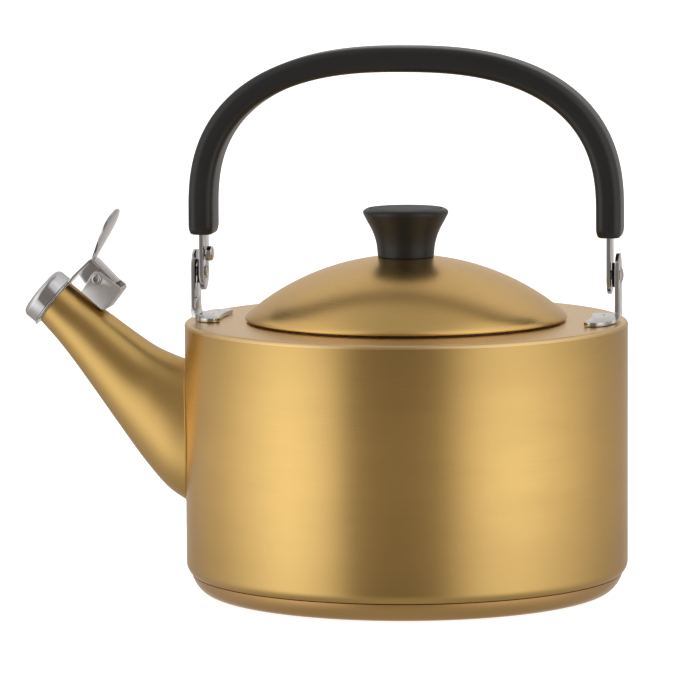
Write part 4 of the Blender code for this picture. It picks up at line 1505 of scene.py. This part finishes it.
@dataclass
class Handle:
    """The bail: a steel strap, the grip moulded round it and the stop stud."""

    centre_z: float = 155.0
    half_span: float = 83.2
    rise: float = 61.6
    power: float = 2.5
    steps: int = 60
    grip_thickness: float = 10.2
    grip_depth: float = 20.0
    grip_corner: float = 3.6
    grip_end_z: float = 145.0
    tip_length: float = 4.0
    tip_scale: float = 0.76
    strap_thickness: float = 1.5
    strap_width: float = 15.4
    bore: float = 2.3
    stud_z: float = 136.8
    stud_hole: float = 1.7
    stud_head: tuple[Point, ...] = (
        (2.5, 0.0), (2.85, 0.15), (3.0, 0.5), (3.05, 1.2), (3.05, 2.0), (2.95, 2.5), (2.7, 2.85), (2.2, 3.05),
        (1.4, 3.1), (0.0, 3.1),
    )

    def bow(self, end_z: float, tips: Sequence[float] = ()) -> list[Point]:
        """The handle's middle line from one leg over the top to the other.

        Args:
            end_z: the height of its ends.
            tips: heights above the ends of extra points on the straight legs.

        Returns:
            Points (x, z).
        """
        half = [(self.half_span, end_z + tip) for tip in (0.0, *tips)]
        for index in range(self.steps + 1):
            angle = math.pi / 2 * index / self.steps
            half.append((
                self.half_span * max(math.cos(angle), 0.0) ** (2 / self.power),
                self.centre_z + self.rise * math.sin(angle) ** (2 / self.power),
            ))
        return half + [(-x, z) for x, z in half[-2::-1]]

    def tip_swell(self, point: Point) -> float:
        """How much of its full section the grip has at a point: it narrows into round tips."""
        share = min(max((point[1] - self.grip_end_z) / self.tip_length, 0.0), 1.0)
        return self.tip_scale + (1 - self.tip_scale) * math.sqrt(1 - (1 - share) ** 2)

    def grip(self) -> None:
        """The black grip."""
        half_t, half_d, corner = self.grip_thickness / 2, self.grip_depth / 2, self.grip_corner
        section = rounded(
            [(half_t, half_d), (-half_t, half_d), (-half_t, -half_d), (half_t, -half_d)], [corner] * 4, 8,
            closed=True,
        )
        tips = [self.tip_length * share for share in (0.06, 0.2, 0.45, 0.7, 1.0)]
        grip = bench.swept("grip_body", self.bow(self.grip_end_z, tips), section, FRONT, self.tip_swell)
        bench.soften(grip, 0.7, 4, 60.0)
        bench.hand_over(grip, GRIP, Body.HANDLE, Slot.GRIP, "handle_grip", angle=45.0)

    def strap(self) -> None:
        """The steel strap, with round ends and the holes for the rivets and the stud."""
        half, thick = self.strap_width / 2, self.strap_thickness / 2
        section = [(thick, half), (-thick, half), (-thick, -half), (thick, -half)]
        strap = bench.swept("strap_strip", self.bow(PIVOT_Z - half - 1.0), section, FRONT)
        over, reach = self.centre_z + self.rise + self.grip_thickness, self.half_span + self.grip_thickness
        end_shape = [
            *arc((0.0, PIVOT_Z), half, 180, 360, 32), (half + 1.0, PIVOT_Z + 3.0), (half + 1.0, over),
            (-half - 1.0, over), (-half - 1.0, PIVOT_Z + 3.0),
        ]
        bench.combine(strap, bench.plate("strap_trim", end_shape, 2 * reach, SIDE), "INTERSECT")
        holes = ((self.bore, 2 * reach, 0.0, PIVOT_Z), (self.stud_hole, 12.0, -self.half_span, self.stud_z))
        for radius, depth, x, z in holes:
            bench.drill(strap, Axis.X, radius, depth, (x, 0.0, z))
        bench.soften(strap, 0.22, 2, 60.0)
        bench.hand_over(strap, POLISHED, Body.HANDLE, Slot.POLISHED, "handle_strap", angle=30.0)

    def stud(self) -> None:
        """The stop stud through the left end of the strap."""
        seat = self.half_span - self.strap_thickness / 2 - 0.05
        end = self.half_span + self.strap_thickness / 2 + 0.4
        shank = self.stud_hole - GAP
        stud = bench.turned("strap_stud", [
            (0.0, end), (shank, end), (shank, seat), *[(radius, seat - height) for radius, height in self.stud_head],
        ], MEDIUM, side_place(-1, self.stud_z))
        bench.hand_over(stud, POLISHED, Body.HANDLE, Slot.POLISHED, "stop_stud")


# ----------------------------------------------------------------------------------------------------- the studio


@dataclass
class Studio:
    """The camera, the pale floor and the light tent round them."""

    azimuth: float = 8.0
    distance: float = 2180.6
    height: float = 355.8
    pan: float = 0.0105  # radians
    pitch: float = 0.1176
    roll: float = -0.0057
    lens: float = 277.7
    floor_size: float = 60.0  # metres
    floor_glow: float = 0.80
    low_ring: tuple[tuple[float, float], ...] = (  # azimuth from the camera, brightness near the horizon
        (-180.0, 0.72), (-150.0, 0.42), (-110.0, 0.66), (-88.0, 1.00), (-66.0, 1.38), (-50.0, 1.20), (-36.0, 0.86),
        (-30.0, 0.28), (-4.0, 0.24), (18.0, 0.29), (26.0, 0.66), (40.0, 1.06), (60.0, 1.16), (88.0, 0.86),
        (120.0, 0.52), (150.0, 0.42), (180.0, 0.72),
    )
    high_ring: tuple[tuple[float, float], ...] = (  # the same at half height
        (-180.0, 0.66), (-150.0, 0.74), (-120.0, 0.80), (-95.0, 0.9), (-55.0, 1.0), (-32.0, 0.42), (-26.0, 0.28),
        (10.0, 0.28), (22.0, 0.80), (55.0, 1.10), (95.0, 0.95), (120.0, 0.84), (150.0, 0.74), (180.0, 0.66),
    )
    rise: Point = (10.0, 38.0)  # elevations between which the low ring turns into the high one
    crown: Point = (55.0, 85.0)
    drop: Point = (-24.0, -65.0)
    zenith: float = 0.42
    nadir: float = 0.42
    warmth: float = 0.16
    peak: float = 2.0  # the brightness that the ramps' full value stands for

    def camera(self) -> None:
        """A long lens at the kettle's front, a little to its right."""
        turn = math.radians(self.azimuth)
        place = Vector((math.sin(turn) * self.distance, -math.cos(turn) * self.distance, self.height)) * MM
        aim = (Matrix.Rotation(turn + self.pan, 4, "Z") @ Matrix.Rotation(math.pi / 2 - self.pitch, 4, "X")
               @ Matrix.Rotation(self.roll, 4, "Z"))
        bpy.ops.object.camera_add(location=place, rotation=aim.to_euler())
        camera = bpy.context.object
        camera.name = "studio_camera"
        camera.data.lens = self.lens
        camera.data.sensor_width = 36.0
        camera.data.clip_start, camera.data.clip_end = 0.05, 100.0
        bpy.context.scene.camera = camera

    def floor(self) -> None:
        """A wide pale floor with a barely visible grain."""
        bpy.ops.mesh.primitive_plane_add(size=self.floor_size, location=(0.0, 0.0, -0.0002))
        floor = bpy.context.object
        floor.name = "studio_floor"
        material = bpy.data.materials.new("pale_floor")
        material.use_nodes = True
        graph = Graph(material.node_tree)
        grain = graph.noise(graph.place(), 40.0, 3.0)
        shader = graph.make("ShaderNodeBsdfPrincipled", sockets={
            "Base Color": graph.blend(grain, (0.86, 0.86, 0.86), (0.90, 0.90, 0.90)), "Roughness": 0.9,
            "Specular IOR Level": 0.1, "Emission Color": (1.0, 1.0, 1.0, 1.0), "Emission Strength": self.floor_glow,
        })
        graph.make("ShaderNodeOutputMaterial", sockets={"Surface": shader})
        floor.data.materials.append(material)
        floor.visible_glossy = False

    def ring(self, graph: Graph, turn: Wire, stops: Sequence[tuple[float, float]]) -> Wire:
        """The light's colour round the tent; the darker, the warmer.

        Args:
            graph: the world's node tree.
            turn: the direction's azimuth from the camera, as a share of a full turn.
            stops: (azimuth, brightness) pairs.

        Returns:
            The colour.
        """
        colours = []
        for azimuth, level in stops:
            warm = self.warmth * max(1.0 - level, 0.0)
            share = level / self.peak
            colours.append(((azimuth + 180.0) / 360.0, (share, share * (1 - warm), share * (1 - 1.8 * warm))))
        ramp = graph.make("ShaderNodeValToRGB", {"stops": colours}, {0: turn})
        return graph.make("ShaderNodeVectorMath", {"operation": "SCALE"}, {0: ramp, "Scale": self.peak})

    def tent(self) -> None:
        """The light tent: bright walls to the left and right, and a darker opening behind the camera."""
        world = bpy.data.worlds.new("studio_tent")
        bpy.context.scene.world = world
        world.use_nodes = True
        graph = Graph(world.node_tree)
        way = graph.make("ShaderNodeTexCoord")
        x, y, z = graph.split(way)
        turn = math.radians(self.azimuth)
        ahead = x * math.sin(turn) - y * math.cos(turn)
        right = x * math.cos(turn) + y * math.sin(turn)
        around = right.angle_from(ahead) / math.tau + 0.5
        low = self.ring(graph, around, self.low_ring)
        high = self.ring(graph, around, self.high_ring)
        wall = graph.blend(graph.climb(z, self.rise), low, high)
        light = graph.blend(graph.climb(z, self.crown), wall, (self.zenith,) * 3)
        light = graph.blend(graph.climb(z, self.drop), light, (self.nadir, self.nadir * 0.96, self.nadir * 0.9))
        seen = graph.make("ShaderNodeLightPath")
        colour = graph.blend(seen, light, (1.0, 1.0, 1.0))
        background = graph.make("ShaderNodeBackground", sockets={"Color": colour, "Strength": 1.0})
        graph.make("ShaderNodeOutputWorld", sockets={"Surface": background})

    def build(self) -> None:
        """Sets up the studio."""
        self.camera()
        self.floor()
        self.tent()
        bpy.context.scene.view_settings.view_transform = "Standard"


def dress_hidden_nodes() -> None:
    """Gives the CAD pieces that stay, all inside the kettle, their finishes."""
    finishes = {"base_core": CORE, "knob_screw": SATIN, "knob_washer": SATIN}
    for name, finish in finishes.items():
        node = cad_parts[name]
        node.data.materials.clear()
        node.data.materials.append(finish.material())
        log.info("%s: dressed", name)


def main() -> None:
    """Builds the studio, then the kettle's sub-assemblies in order."""
    logging.basicConfig(level=logging.INFO, format="%(name)s: %(message)s")
    bench.pick()
    Studio().build()
    spout = Spout()
    vessel = Vessel()
    vessel.shell(spout)
    vessel.base()
    vessel.shoulder()
    spout.build()
    lid = Lid()
    lid.dome()
    lid.skirt()
    lid.knob()
    whistle = Whistle()
    whistle.cap()
    whistle.lever()
    bracket = WhistleBracket()
    bracket.channel()
    bracket.pin()
    bracket.spring()
    for side, label in ((-1, "left"), (1, "right")):
        HandleBracket(side, label).build()
    handle = Handle()
    handle.strap()
    handle.grip()
    handle.stud()
    dress_hidden_nodes()
    bench.pick()


if __name__ == "__main__":
    main()
